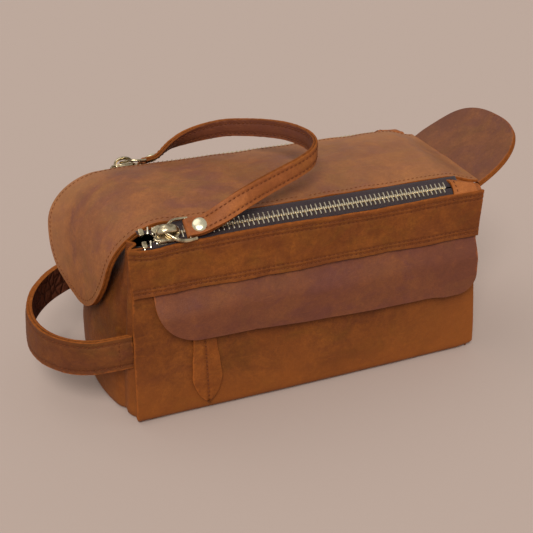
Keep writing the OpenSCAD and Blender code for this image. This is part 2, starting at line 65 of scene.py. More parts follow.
WRAP_LO, WRAP_HI = box_mm("body_wrap")
SEAM_IN = 4.0                   # the end seams lie this far inside each end of the base
BASE_L = WRAP_HI[0] - WRAP_LO[0] + 2 * SEAM_IN
BASE_D = WRAP_HI[1] - WRAP_LO[1]
WALL_H = WRAP_HI[2]
TOP_L = BASE_L - 13.0
TOP_D = BASE_D - 12.6
BAND_Z = box_mm("front_band")[0][2]
LID_HI = box_mm("lid_panel")[1]
LID_HW = LID_HI[1]
LID_CROWN = 5.0
LID_Z = LID_HI[2] - LID_CROWN   # height of the lid's long edges
CORNER_Z = 5.0                  # radius of the wrap's lower corners
LEAN = math.atan((BASE_D - TOP_D) / 2 / (WALL_H - CORNER_Z))
# left flap: slant and place of its bend line, radius and degrees of the bend, length and half width
PHI = math.radians(13.3)
FLAP_X0, FLAP_R, FLAP_BEND, FLAP_L, FLAP_HW = -110.6, 39.0, 83.0, 93.0, 46.8
# long zips: slope, middle line, ends and tooth pitch, then slider, crown, cross pin and the pin's height
TILT = math.radians(32.0)
ZIP_Y, ZIP_Z = 55.7, 133.6
ZIP_X0, ZIP_X1, PITCH = -110.0, 104.0, 3.4
SLIDER_X, CROWN_X, PIN_X, HANG = -102.0, -101.0, -88.0, 3.0
# right ear: middle of its root, upward tilt, length and half width
EAR_X, EAR_Y, EAR_Z, EAR_TILT, EAR_L, EAR_HW = 132.1, -6.7, 132.9, math.radians(34), 50.5, 46.8
# side handle: root, width of the leather, half width and reach of the loop, droop
HANDLE_X, HANDLE_Z, HANDLE_W, HANDLE_HW = -134.5, 55.0, 24.5, 62.4
HANDLE_REACH, HANDLE_DROOP = 55.5, math.radians(6.5)
# front pocket: height, ends and half height of its slot, tooth pitch, then its pull tab
POCKET_Z, POCKET_X0, POCKET_X1, POCKET_SLOT, POCKET_PITCH = 78.0, -97.0, 115.0, 4.6, 2.8
TAB_X, TAB_TIP = -82.0, 9.0
STRAP_W, RIVET_X = 12.6, -80.6


# ---------- small maths ----------


def smooth(a, b, x):
    t = np.clip((np.asarray(x, float) - a) / (b - a), 0, 1)
    return t * t * (3 - 2 * t)


def bell(x, centre, width):
    return np.exp(-((np.asarray(x, float) - centre) / width) ** 2)


def ripple(P, size, seed, waves=9):
    """Smooth noise from -1 to 1 at points P (mm), with features about size mm across."""
    rng = np.random.RandomState(seed)
    total = np.zeros(P.shape[:-1])
    for _ in range(waves):
        k = rng.normal(size=3)
        k *= 2 * math.pi / (size * rng.uniform(0.7, 1.8)) / np.linalg.norm(k)
        total += np.sin(P @ k + rng.uniform(0, 2 * math.pi))
    return total / math.sqrt(waves) / 1.4


def unit(v):
    return v / np.maximum(np.linalg.norm(v, axis=-1, keepdims=True), 1e-9)


def grid_normals(P):
    return unit(np.cross(np.gradient(P, axis=0), np.gradient(P, axis=1)))


def facing(P, i, j, toward):
    """Whether a grid has to be flipped to face toward at (i, j), and its normals on that side."""
    N = grid_normals(P)
    flip = float((N[i, j] * np.asarray(toward, float)).sum()) < 0
    return flip, N * (-1 if flip else 1)


def eased(count, share):
    """Stations from -1 to 1 that lie closer together near both ends."""
    s = np.linspace(-1, 1, count)
    return np.sin(s * math.pi / 2) * share + s * (1 - share)


def station(value, stations):
    """Where a value falls along rising stations, counted in stations."""
    return np.interp(value, stations, np.arange(len(stations)))


def grid(a, b):
    return np.meshgrid(a, b, indexing="ij")


def arc(P, axis=0):
    """Length along one axis of a grid of points."""
    step = np.linalg.norm(np.diff(P, axis=axis), axis=-1)
    pad = [(0, 0)] * step.ndim
    pad[axis] = (1, 0)
    return np.cumsum(np.pad(step, pad), axis=axis)


def spread(a, b, step, fine=(), fine_step=0.7, reach=2.6):
    """Stations from a to b: step apart, and fine_step apart near each place in fine."""
    out = list(np.linspace(a, b, max(2, int(round(abs(b - a) / step)) + 1)))
    for f in fine:
        out += list(np.arange(f - reach, f + reach + 1e-6, fine_step))
    lo, hi = min(a, b), max(a, b)
    out = np.unique(np.round([x for x in out if lo <= x <= hi], 3))
    kept = [out[0]]
    for x in out[1:]:
        if x - kept[-1] > fine_step * 0.45:
            kept.append(x)
    kept[-1] = hi
    return np.array(kept if a < b else kept[::-1])


def on_zip(x, across, up, side=-1):
    """A point in the frame of a long zip: side -1 is the front one."""
    c, s = math.cos(TILT), math.sin(TILT)
    x, across, up = np.broadcast_arrays(np.asarray(x, float), across, up)
    y = -ZIP_Y + across * c - up * s
    return np.stack([x, -side * y, ZIP_Z + across * s + up * c], -1)


def on_front(x, out, z, side=-1):
    """A point on the front (side -1) or back wall: out is how far it stands off the leather."""
    x, out, z = np.broadcast_arrays(np.asarray(x, float), out, z)
    c, s = math.cos(LEAN), math.sin(LEAN)
    h = z - CORNER_Z
    y = -BASE_D / 2 - out * c + h * s
    return np.stack([x, -side * y, CORNER_Z + out * s + h * c], -1)


# ---------- materials ----------


class Nodes:
    """Short hand for building a material's node tree."""

    def __init__(self, name):
        self.mat = bpy.data.materials.new(name)
        self.mat.use_nodes = True
        self.tree = self.mat.node_tree
        self.bsdf = self.tree.nodes["Principled BSDF"]

    def put(self, socket, value):
        """Links a socket, or sets it. A colour may leave out its alpha."""
        if isinstance(value, bpy.types.NodeSocket):
            self.tree.links.new(value, socket)
        else:
            socket.default_value = (*value, 1) if socket.type == "RGBA" else value

    def node(self, kind, inputs=(), **settings):
        n = self.tree.nodes.new("ShaderNode" + kind)
        for key, value in settings.items():
            setattr(n, key, value)
        for key, value in dict(inputs).items():
            self.put(n.inputs[key], value)
        return n

    def stored(self, name):
        """A value that the mesh carries at each point."""
        return self.node("Attribute", attribute_name=name)

    def place(self):
        """Where a point of the piece was at rest, in metres."""
        return self.stored("rest").outputs["Vector"]

    def scaled(self, vec, stretch):
        return self.node("Mapping", {"Vector": vec, "Scale": stretch}).outputs["Vector"]

    def noise(self, vec, scale, detail=3.0, rough=0.55, twist=0.0):
        return self.node("TexNoise", {"Vector": vec, "Scale": scale, "Detail": detail, "Roughness": rough,
                                      "Distortion": twist}).outputs["Fac"]

    def cells(self, vec, scale, feature="F1"):
        return self.node("TexVoronoi", {"Vector": vec, "Scale": scale}, feature=feature).outputs["Distance"]

    def band(self, value, low, high, out_low=0.0, out_high=1.0):
        return self.node("MapRange", {"Value": value, "From Min": low, "From Max": high, "To Min": out_low,
                                      "To Max": out_high}, clamp=True).outputs["Result"]

    def mix(self, fac, a, b):
        return self.node("Mix", {0: fac, 6: a, 7: b}, data_type="RGBA").outputs[2]

    def math(self, op, a, b=0.0):
        return self.node("Math", {0: a, 1: b}, operation=op).outputs[0]

    def bump(self, height, distance, strength=1.0, under=None):
        n = self.node("Bump", {"Height": height, "Distance": distance, "Strength": strength})
        if under is not None:
            self.put(n.inputs["Normal"], under)
        return n.outputs["Normal"]

    def finish(self, colour, rough, normal=None, metal=0.0, specular=0.4, sheen=0.0):
        values = {"Base Color": colour, "Roughness": rough, "Metallic": metal, "Specular IOR Level": specular,
                  "Sheen Weight": sheen, "Sheen Roughness": 0.5}
        if normal is not None:
            values["Normal"] = normal
        for key, value in values.items():
            self.put(self.bsdf.inputs[key], value)
        return self.mat


WORN = (0.33, 0.088, 0.014)     # paler colour at rubbed edges


def leather(name, base, warm, plum, olive, dark, plum_share=0.5, olive_share=0.5, shift=0.0, gloss=0.18,
            painted_light_sides=(), painted_light_tint=None):
    """Waxed pull-up leather: drifting colour, cloudy patches, fine grain, scuffs, paler worn edges, painted
    light paler towards given sides, painted shade in the stitch grooves.
    """
    n = Nodes(name)
    moved = n.node("Mapping", {"Vector": n.place(), "Location": (shift, shift * 0.7, shift * 1.3)})
    at = moved.outputs["Vector"]
    cloud = n.noise(at, 17.0, 3.0, 0.5, 0.7)
    patch = n.noise(n.scaled(at, (1.0, 1.3, 1.6)), 27.0, 5.0, 0.62, 0.9)
    green = n.noise(at, 30.0, 5.0, 0.6, 1.2)
    shade = n.noise(at, 12.0, 2.0, 0.5)
    mottle = n.noise(at, 95.0, 5.0, 0.68, 0.5)
    fine = n.noise(at, 420.0, 4.0, 0.7)
    speck = n.noise(at, 1300.0, 2.0, 0.6)
    scuff = n.noise(n.scaled(at, (0.22, 1.0, 1.5)), 420.0, 2.0, 0.5, 0.4)
    c = base
    for share, tint in ((n.band(cloud, 0.38, 0.62), warm),
                        (n.math("MULTIPLY", n.band(patch, 0.49, 0.64), plum_share), plum),
                        (n.math("MULTIPLY", n.band(green, 0.5, 0.66), olive_share), olive),
                        (n.band(shade, 0.5, 0.8, 0.0, 0.5), dark),
                        (n.band(mottle, 0.35, 0.65, 0.42, 0.0), dark),
                        (n.band(mottle, 0.55, 0.75, 0.0, 0.35), warm),
                        (n.band(fine, 0.3, 0.6, 0.38, 0.0), dark),
                        (n.band(speck, 0.3, 0.7, 0.3, 0.0), dark),
                        (n.band(scuff, 0.64, 0.76, 0.0, 0.4), warm)):
        c = n.mix(share, c, tint)
    for axis, start, end, share in painted_light_sides:        # painted light: paler towards one side, along one axis in metres
        along = n.node("SeparateXYZ", {0: n.place()})
        uneven = n.math("ADD", along.outputs[axis], n.band(cloud, 0.3, 0.7, -0.02, 0.02))
        c = n.mix(n.band(uneven, start, end, 0.0, share), c, painted_light_tint or warm)
    uneven = n.band(n.noise(at, 260.0, 3.0, 0.6), 0.3, 0.7, -0.9, 0.9)
    frayed = n.math("ADD", n.stored("edge_mm").outputs["Fac"], uneven)
    c = n.mix(n.band(frayed, 0.1, 1.2, 0.6, 0.0), c, WORN)
    # painted shade: darker along the stitch grooves
    c = n.mix(n.math("MULTIPLY", n.stored("groove").outputs["Fac"], 0.4), c, dark)
    grain = n.cells(at, 1250.0)
    height = n.math("ADD", n.math("MULTIPLY", grain, 0.5), n.math("MULTIPLY", fine, 0.9))
    normal = n.bump(height, 0.00035, 0.6)
    normal = n.bump(n.noise(at, 75.0, 3.0, 0.5), 0.0011, 0.45, normal)
    rough = n.band(cloud, 0.3, 0.7, 0.5, 0.66)
    return n.finish(c, rough, normal, specular=gloss)


def rough_side(name, colour, pale, scale=480.0, cracked=False):
    """Flesh side or raw cut edge of the leather."""
    n = Nodes(name)
    at = n.place()
    fibre = n.noise(at, scale, 5.0, 0.7, 0.6)
    blotch = n.noise(at, 60.0, 3.0, 0.6, 0.5)
    c = n.mix(n.band(fibre, 0.3, 0.7), colour, pale)
    c = n.mix(n.band(blotch, 0.35, 0.7, 0.0, 0.5), c, colour)
    height = fibre
    if cracked:
        crack = n.cells(n.scaled(at, (0.8, 1.2, 0.55)), 190.0, "DISTANCE_TO_EDGE")
        c = n.mix(n.band(crack, 0.0, 0.12, 0.6, 0.0), c, tuple(x * 0.25 for x in colour))
        height = n.math("ADD", fibre, n.band(crack, 0.0, 0.2, 0.0, 2.0))
    return n.finish(c, 0.82, n.bump(height, 0.0005, 0.7), specular=0.1)


def weave(name, colour, pale, pitch):
    """Plain woven cloth or tape, with threads pitch metres apart."""
    n = Nodes(name)
    at = n.place()
    turn = 2 * math.pi / pitch
    split = n.node("SeparateXYZ", {0: at})
    x = n.math("SINE", n.math("MULTIPLY", split.outputs[0], turn))
    y = n.math("SINE", n.math("MULTIPLY", n.math("ADD", split.outputs[1], split.outputs[2]), turn))
    cross = n.math("MULTIPLY", x, y)
    c = n.mix(n.band(cross, -1.0, 1.0), colour, pale)
    c = n.mix(n.band(n.noise(at, 90.0, 4.0, 0.6), 0.35, 0.7, 0.0, 0.5), c, colour)
    return n.finish(c, 0.85, n.bump(cross, 0.0002, 0.6), specular=0.25, sheen=0.25)


def brass(name, bright, tarnish, rough_low, rough_high, patina=0.5):
    """Brushed metal with tarnish in patches."""
    n = Nodes(name)
    at = n.place()
    worn = n.noise(at, 260.0, 4.0, 0.6, 0.4)
    c = n.mix(n.band(worn, 0.62 - 0.3 * patina, 0.8 - 0.2 * patina), bright, tarnish)
    brushed = n.noise(n.scaled(at, (0.15, 1.0, 1.0)), 1800.0, 2.0, 0.5)
    rough = n.band(worn, 0.3, 0.7, rough_low, rough_high)
    return n.finish(c, rough, n.bump(brushed, 0.00005, 0.4), metal=1.0, specular=0.5)


def thread_material():
    n = Nodes("stitch_thread")
    at = n.place()
    twist = n.noise(at, 1400.0, 2.0, 0.5)
    c = n.mix(n.band(twist, 0.35, 0.65), (0.090, 0.021, 0.006), (0.21, 0.058, 0.016))
    return n.finish(c, 0.6, n.bump(twist, 0.0002, 0.7), specular=0.15)


# painted light: the body leather turns paler towards the right end and towards the floor
BODY_TAN = leather("leather_body", (0.180, 0.047, 0.0077), (0.265, 0.077, 0.012), (0.14, 0.034, 0.011),
                   (0.185, 0.066, 0.0075), (0.070, 0.017, 0.005), 0.55, 0.6,
                   painted_light_sides=[(0, 0.04, 0.15, 0.6), (2, 0.05, 0.005, 0.5)], painted_light_tint=(0.29, 0.082, 0.013))
# painted light: a paler copy of the body leather for the bands along the top edges, which lean up to the
# light
BAND_PAINTED_LIGHT_TAN = leather("leather_band_painted_light", (0.225, 0.060, 0.0095), (0.30, 0.088, 0.013), (0.17, 0.042, 0.013),
                   (0.235, 0.084, 0.010), (0.090, 0.022, 0.006), 0.4, 0.6, 0.17)
# painted highlight: the lid leather turns paler towards its rear edge and its right end
LID_TAN = leather("leather_lid", (0.270, 0.095, 0.031), (0.36, 0.127, 0.035), (0.205, 0.067, 0.042),
                  (0.275, 0.120, 0.027), (0.145, 0.046, 0.019), 0.8, 0.6, 0.31, 0.3,
                  painted_light_sides=[(1, 0.02, 0.055, 0.3), (0, -0.03, 0.12, 0.25)], painted_light_tint=(0.42, 0.185, 0.070))
POCKET_BROWN = leather("leather_pocket", (0.175, 0.051, 0.023), (0.235, 0.073, 0.023), (0.155, 0.046, 0.031),
                       (0.225, 0.082, 0.021), (0.105, 0.031, 0.017), 0.85, 0.35, 0.57, 0.25)
EAR_BROWN = leather("leather_ear", (0.19, 0.062, 0.024), (0.25, 0.086, 0.024), (0.15, 0.048, 0.030),
                    (0.20, 0.082, 0.018), (0.10, 0.031, 0.014), 0.8, 0.4, 0.73, 0.3)
HANDLE_BROWN = leather("leather_handle", (0.165, 0.047, 0.012), (0.22, 0.068, 0.014), (0.14, 0.037, 0.016),
                       (0.165, 0.066, 0.012), (0.075, 0.020, 0.007), 0.6, 0.6, 0.83)
STRAP_TAN = leather("leather_strap", (0.38, 0.116, 0.031), (0.47, 0.152, 0.039), (0.31, 0.090, 0.030),
                    (0.36, 0.130, 0.021), (0.17, 0.046, 0.011), 0.4, 0.4, 1.1)
TAB_TAN = leather("leather_tab", (0.25, 0.066, 0.0095), (0.33, 0.094, 0.013), (0.19, 0.046, 0.012),
                  (0.25, 0.086, 0.010), (0.11, 0.027, 0.006), 0.4, 0.5, 1.4)
RAW = rough_side("leather_cut_edge", (0.165, 0.043, 0.007), (0.36, 0.105, 0.018))
RAW_DARK = rough_side("leather_cut_edge_shaded", (0.13, 0.034, 0.007), (0.26, 0.075, 0.015))
FLESH = rough_side("leather_flesh_side", (0.085, 0.026, 0.009), (0.16, 0.052, 0.017))
HANDLE_BACK = rough_side("leather_handle_back", (0.080, 0.022, 0.011), (0.155, 0.046, 0.020), 300.0, True)
TAPE = weave("woven_zip_tape", (0.016, 0.0085, 0.0105), (0.050, 0.027, 0.030), 0.0011)
CLOTH = weave("woven_lining", (0.008, 0.007, 0.007), (0.020, 0.017, 0.016), 0.0009)
TEETH = brass("brass_teeth", (0.93, 0.83, 0.63), (0.62, 0.52, 0.34), 0.24, 0.4, 0.2)
ANTIQUE = brass("antique_brass", (0.74, 0.62, 0.40), (0.14, 0.097, 0.052), 0.16, 0.34, 0.62)
CAP_BRASS = brass("rivet_brass", (0.93, 0.84, 0.58), (0.72, 0.60, 0.36), 0.2, 0.32, 0.1)
THREAD = thread_material()


# ---------- mesh building ----------


def add_mesh(name, verts, faces, materials, face_mat=None, edge_mm=None, groove=None):
    """A mesh from points in mm, with its rest place and wear stored on it for the materials."""
    me = bpy.data.meshes.new(name)
    v = np.asarray(verts, float).reshape(-1, 3) * MM
    me.from_pydata([], [], [])
    me.vertices.add(len(v))
    me.vertices.foreach_set("co", v.astype(np.float32).ravel())
    sizes = np.array([len(f) for f in faces], np.int32)
    flat = np.concatenate([np.asarray(f, np.int32) for f in faces]) if not isinstance(faces, np.ndarray) \
        else faces.astype(np.int32).ravel()
    me.loops.add(len(flat))
    me.loops.foreach_set("vertex_index", flat)
    me.polygons.add(len(sizes))
    starts = np.concatenate([[0], np.cumsum(sizes)[:-1]]).astype(np.int32)
    me.polygons.foreach_set("loop_start", starts)
    me.polygons.foreach_set("loop_total", sizes)
    me.update(calc_edges=True)
    me.polygons.foreach_set("use_smooth", np.ones(len(sizes), bool))
    for m in materials:
        me.materials.append(m)
    if face_mat is not None:
        me.polygons.foreach_set("material_index", np.asarray(face_mat, np.int32))
    a = me.attributes.new("rest", "FLOAT_VECTOR", "POINT")
    a.data.foreach_set("vector", v.astype(np.float32).ravel())
    for key, values, default in (("edge_mm", edge_mm, 30.0), ("groove", groove, 0.0)):
        a = me.attributes.new(key, "FLOAT", "POINT")
        data = np.full(len(v), default) if values is None else np.asarray(values, float).ravel()
        a.data.foreach_set("value", data.astype(np.float32))
    me.validate()
    ob = bpy.data.objects.new(name, me)
    bpy.context.scene.collection.objects.link(ob)
    return ob


def sharpen(ob, degrees=50):
    """Keeps edges sharper than this angle crisp."""
    ob.data.set_sharp_from_angle(angle=math.radians(degrees))
    return ob


def ring_faces(rings, sides):
    """Quads between closed rings of points."""
    quads = []
    for low in range(0, (rings - 1) * sides, sides):
        for k in range(sides):
            after = (k + 1) % sides
            quads.append([low + k, low + after, low + sides + after, low + sides + k])
    return quads


def panel(name, P, thick, face, cut=RAW, back=FLESH, keep=None, worn=True, groove=None, flip=False,
          seam=None):
    """A sheet of leather from a grid of points on its outer face: outer face, cut rim, flesh side.
    seam is the x of a border where the sheet carries on in its neighbour."""
    n, m = P.shape[:2]
    N = grid_normals(P) * (-1 if flip else 1)
    idx = np.arange(n * m).reshape(n, m)
    if keep is None:
        keep = np.ones((n - 1, m - 1), bool)
    q = np.stack([idx[:-1, :-1], idx[1:, :-1], idx[1:, 1:], idx[:-1, 1:]], -1)[keep]
    if flip:
        q = q[:, ::-1]
    a, b = q.ravel(), np.roll(q, -1, axis=1).ravel()
    border = ~np.isin(a.astype(np.int64) * (n * m) + b, b.astype(np.int64) * (n * m) + a)
    ea, eb = a[border], b[border]
    outer, inner, normal = (A.reshape(-1, 3) for A in (P, P - N * thick, N))
    push = np.zeros_like(outer)
    away = unit(np.cross(outer[eb] - outer[ea], normal[ea]))
    np.add.at(push, ea, away)
    np.add.at(push, eb, away)
    push = unit(push)
    # the rim: two rings between the faces, pushed out a little and frayed, except along the seam
    rim = np.unique(np.concatenate([ea, eb]))
    slot_of = np.full(n * m, -1)
    slot_of[rim] = np.arange(len(rim))
    joins = np.zeros(len(rim), bool) if seam is None else np.abs(outer[rim][:, 0] - seam) < 0.3
    fuzz = 0.12 * ripple(outer[rim], 3.0, 5)[:, None]
    rings = [outer[rim] - normal[rim] * thick * depth + push[rim] * (0.16 + fuzz) * ~joins[:, None]
             for depth in (0.22, 0.78)]
    base, rest = 2 * n * m, len(rings) * len(rim)
    chain = [(ea, eb)] + [(base + r * len(rim) + slot_of[ea], base + r * len(rim) + slot_of[eb])
                          for r in range(len(rings))] + [(ea + n * m, eb + n * m)]
    sides = [np.stack([c0[1], c0[0], c1[0], c1[1]], -1) for c0, c1 in zip(chain[:-1], chain[1:])]
    faces = np.concatenate([q, q[:, ::-1] + n * m] + sides)
    mats = np.repeat([0, 2, 1], [len(q), len(q), sum(map(len, sides))])
    # distance to the rim, for the worn edges, and the stitch grooves
    d = np.full(n * m, 30.0)
    if worn and len(rim) and n * m * len(rim) < 6e7:
        edge_points = outer[rim[~joins]][::2]
        for s in range(0, n * m, 4000):
            part = outer[s:s + 4000]
            d[s:s + 4000] = np.sqrt(((part[:, None, :] - edge_points[None]) ** 2).sum(-1)).min(1)
    g = np.zeros(n * m) if groove is None else groove.ravel()
    used = np.zeros(base + rest, bool)
    used[faces.ravel()] = True
    new = np.cumsum(used) - 1
    verts = np.concatenate([outer, inner] + rings)[used]
    edge_mm = np.concatenate([d, d, np.zeros(rest)])[used]
    grooves = np.concatenate([g, g * 0, np.zeros(rest)])[used]
    return sharpen(add_mesh(name, verts, new[faces], [face, cut, back], mats, edge_mm, grooves), 55)


def rows(P, N, path):
    """Points and normals of a stitch row: path is (i, j) stations in a grid, which may be fractions."""
    i, j = np.asarray(path, float).T
    i0 = np.clip(np.floor(i).astype(int), 0, P.shape[0] - 2)
    j0 = np.clip(np.floor(j).astype(int), 0, P.shape[1] - 2)
    fi, fj = (i - i0)[:, None], (j - j0)[:, None]

    def at(A):
        return (A[i0, j0] * (1 - fi) * (1 - fj) + A[i0 + 1, j0] * fi * (1 - fj)
                + A[i0, j0 + 1] * (1 - fi) * fj + A[i0 + 1, j0 + 1] * fi * fj)
    return at(P), unit(at(N))


def stitches(name, points, normals, pitch=3.4, length=2.4, radius=0.33, slant=0.16, seed=1):
    """A row of separate thread stitches along a line of points, each dipping in at its ends."""
    s = arc(points)
    total = s[-1]
    count = max(2, int(total / pitch))
    mid = (np.arange(count) + 0.5) * total / count
    rng = np.random.RandomState(seed)

    def at(A, d):
        return np.stack([np.interp(d, s, A[:, k]) for k in range(3)], -1)
    c, nrm = at(points, mid), unit(at(normals, mid))
    t = unit(at(points, np.minimum(mid + 0.6, total)) - at(points, np.maximum(mid - 0.6, 0)))
    w = np.cross(nrm, t)
    t = unit(t + w * (slant + rng.uniform(-0.06, 0.06, (count, 1))))
    w = np.cross(nrm, t)
    stations = [(-0.5, -0.75, 0.5), (-0.36, 0.25, 0.9), (-0.12, 0.72, 1.05), (0.12, 0.72, 1.05),
                (0.36, 0.25, 0.9), (0.5, -0.75, 0.5)]
    sides = 6
    rings = []
    for along_t, up, wide in stations:
        size = radius * wide * rng.uniform(0.9, 1.1, (count, 1))
        centre = c + t * along_t * length + nrm * up * radius
        rings.append(np.stack([centre + (w * math.cos(k) + nrm * math.sin(k)) * size
                               for k in np.arange(sides) * 2 * math.pi / sides], 1))
    V = np.stack(rings, 1)
    one = np.array(ring_faces(len(stations), sides))
    faces = (one[None] + (np.arange(count) * len(stations) * sides)[:, None, None]).reshape(-1, 4)
    return add_mesh(name, V.reshape(-1, 3), faces, [THREAD])


def dent(P, N, lines, pitch=3.4, depth=0.5, pucker=0.3):
    """Sinks the leather along stitch lines. lines holds (distance to the line, length along it) grids."""
    total = np.zeros(P.shape[:2])
    for dist, along in lines:
        hollow = bell(dist, 0, 0.95)
        swell = bell(np.abs(dist), 2.3, 1.5)
        total = np.maximum(total, hollow)
        P = P - N * (depth * hollow * (0.75 + 0.25 * np.cos(2 * math.pi * along / pitch)))[..., None]
        P = P + N * (pucker * swell * (0.65 + 0.35 * np.sin(2 * math.pi * along / pitch * 0.5)))[..., None]
    return P, total


def tube(name, path, radii, materials, sides=14, squash=1.0, up=UP):
    """A round or flattened bar along a path of points."""
    path = np.asarray(path, float)
    n = len(path)
    radii = np.broadcast_to(np.asarray(radii, float), (n,))
    t = unit(np.gradient(path, axis=0))
    side = unit(np.cross(t, np.asarray(up, float)))
    top = np.cross(side, t)
    ang = np.arange(sides) * 2 * math.pi / sides
    V = (path[:, None] + radii[:, None, None] * (side[:, None] * np.cos(ang)[None, :, None]
         + top[:, None] * squash * np.sin(ang)[None, :, None])).reshape(-1, 3)
    ends = [list(range(sides))[::-1], [(n - 1) * sides + k for k in range(sides)]]
    return sharpen(add_mesh(name, V, ring_faces(n, sides) + ends, materials), 60)


def slab(outline, low, high, bevel, to_world, name, hole=None):
    """A flat metal plate with rounded rims: outline is a closed list of (x, y), to_world places (x, y, z).
    hole is the centre and the two radii of an oval one."""
    o = np.asarray(outline, float)
    d = np.roll(o, -1, 0) - np.roll(o, 1, 0)
    out = unit(np.stack([d[:, 1], -d[:, 0]], -1))
    k = len(o)
    levels = [(low, -bevel), (low + bevel * 0.3, -bevel * 0.3), (low + bevel, 0), (high - bevel, 0),
              (high - bevel * 0.3, -bevel * 0.3), (high, -bevel), (high + bevel * 0.12, -bevel * 2.2)]
    V = [np.column_stack([o + out * off, np.full(k, z)]) for z, off in levels]
    faces = ring_faces(len(levels), k)
    last = (len(levels) - 1) * k
    if hole is None:
        faces += [list(range(k))[::-1], [last + i for i in range(k)]]
    else:
        hx, hy, rx, ry = hole
        ang = np.arctan2(o[:, 1] - hy, o[:, 0] - hx)
        V += [np.column_stack([hx + rx * np.cos(ang), hy + ry * np.sin(ang), np.full(k, z)])
              for z in (high, low)]
        top, bot = last + k, last + 2 * k
        for i in range(k):
            j = (i + 1) % k
            faces += [[last + i, last + j, top + j, top + i], [top + i, top + j, bot + j, bot + i],
                      [bot + i, bot + j, j, i]]
    V = np.concatenate(V)
    return sharpen(add_mesh(name, to_world(V[:, 0], V[:, 1], V[:, 2]), faces, [ANTIQUE]), 45)


def round_box(x0, x1, y0, y1, r, steps=6):
    """Closed outline of a rectangle with round corners."""
    pts = []
    for cx, cy, a in ((x1 - r, y1 - r, 0), (x0 + r, y1 - r, 90), (x0 + r, y0 + r, 180),
                      (x1 - r, y0 + r, 270)):
        for s in range(steps + 1):
            w = math.radians(a + 90 * s / steps)
            pts.append((cx + r * math.cos(w), cy + r * math.sin(w)))
    return pts


def joined(name, parts):
    """One mesh object out of several."""
    verts, faces, mats, mat_list, base = [], [], [], [], 0
    for p in parts:
        me = p.data
        co = np.zeros(len(me.vertices) * 3)
        me.vertices.foreach_get("co", co)
        verts.append(co.reshape(-1, 3) / MM)
        for m in me.materials:
            if m not in mat_list:
                mat_list.append(m)
        for f in me.polygons:
            faces.append([v + base for v in f.vertices])
            mats.append(mat_list.index(me.materials[f.material_index]))
        base += len(me.vertices)
        bpy.data.objects.remove(p)
    return sharpen(add_mesh(name, np.concatenate(verts), faces, mat_list, mats), 45)


def fit(ob, body, nodes=()):
    """Joins a piece to a body. For a joint, given as (body a, body b, start, end of the bend in mm), it only
    bakes the piece's place into its mesh: the tuple is not used.
    """
    if isinstance(body, tuple):
        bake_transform(ob)
    else:
        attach(ob, body)
    if nodes:
        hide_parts(*nodes)
    return ob


def sew(name, P, N, path, body, slot_name="leather", **thread):
    """A row of stitches along a path of (i, j) stations in a grid."""
    fit(stitches(name, *rows(P, N, path), **thread), body)


def woven(name, P, thick, material, at, toward, body, nodes=()):
    """A sheet of tape or cloth that shows its face towards toward, judged at station at."""
    flip, _ = facing(P, *at, toward)
    fit(panel(name, P, thick, material, material, material, worn=False, flip=flip),
        body, nodes)


# ---------- front, floor and back in one piece of leather ----------


def seam_x(z):
    """How far out the end seams lie at height z."""
    return BASE_L / 2 - SEAM_IN - (BASE_L - TOP_L) / 2 * np.clip(z, 0, WALL_H) / WALL_H


def half_depth(z):
    """Half of the depth between the straight walls at height z."""
    return BASE_D / 2 - (BASE_D - TOP_D) / 2 * z / WALL_H


def wall_bulge(x, z, side):
    """How far the soft wall stands out past the straight one."""
    low = 4.2 * bell(z, 8, 34) if side < 0 else 2.8 * bell(z, 20, 40)
    belly = 1.2 * bell(x, 30, 90) * bell(z, 40, 40)
    return low * (0.85 + 0.15 * np.cos(x / 60.0)) + belly


def wrap_grid():
    """Rows down the front, over the floor and up the back."""
    xs = np.linspace(-1, 1, 190)
    foot_x = xs * seam_x(0)
    off_floor = 0.15
    r = CORNER_Z - off_floor

    def wall(side, z):
        X = xs * (seam_x(z) + (1.6 if side < 0 else 0.0))
        return on_front(X, wall_bulge(X, z, side), np.full_like(X, z), side)

    def corner(side, degrees):
        a = math.radians(degrees)
        y = BASE_D / 2 - r + r * math.cos(a) + wall_bulge(foot_x, 2.0, side) * (1 - 0.25 * math.sin(a))
        return np.stack([foot_x, side * y, off_floor + r - r * math.sin(a) + 0 * foot_x], -1)

    return np.array(
        [wall(-1, z) for z in np.arange(WALL_H, CORNER_Z - 0.1, -2.0)]
        + [corner(-1, a) for a in np.linspace(12, 90, 7)]
        + [np.stack(np.broadcast_arrays(foot_x, y, off_floor), -1) for y in np.arange(-60, 61, 10)]
        + [corner(1, a) for a in np.linspace(90, 12, 7)]
        + [wall(1, z) for z in np.arange(CORNER_Z, WALL_H + 0.1, 2.0)])


P = wrap_grid()
sway = (0.55 * ripple(P, 60, 3) + 0.16 * ripple(P, 17, 4)) * smooth(0.3, 6, P[..., 2])
P = P + grid_normals(P) * sway[..., None]
# the front's right foot curls up off the floor
rise = smooth(118, 132, P[..., 0]) * bell(P[..., 2], 0, 7) * (P[..., 1] < 0)
P[..., 2] += rise
P[..., 1] += rise * 0.5
mid = (P[:-1, :-1] + P[1:, 1:]) / 2
slot = (np.abs(mid[..., 2] - POCKET_Z) < POCKET_SLOT) & (mid[..., 0] > POCKET_X0) & (mid[..., 0] < POCKET_X1)
fit(panel("wrap_leather", P, HIDE, BODY_TAN, keep=~(slot & (P[:-1, :-1, 1] < -30))),
    "bag", ["body_wrap"])


# ---------- the ends ----------


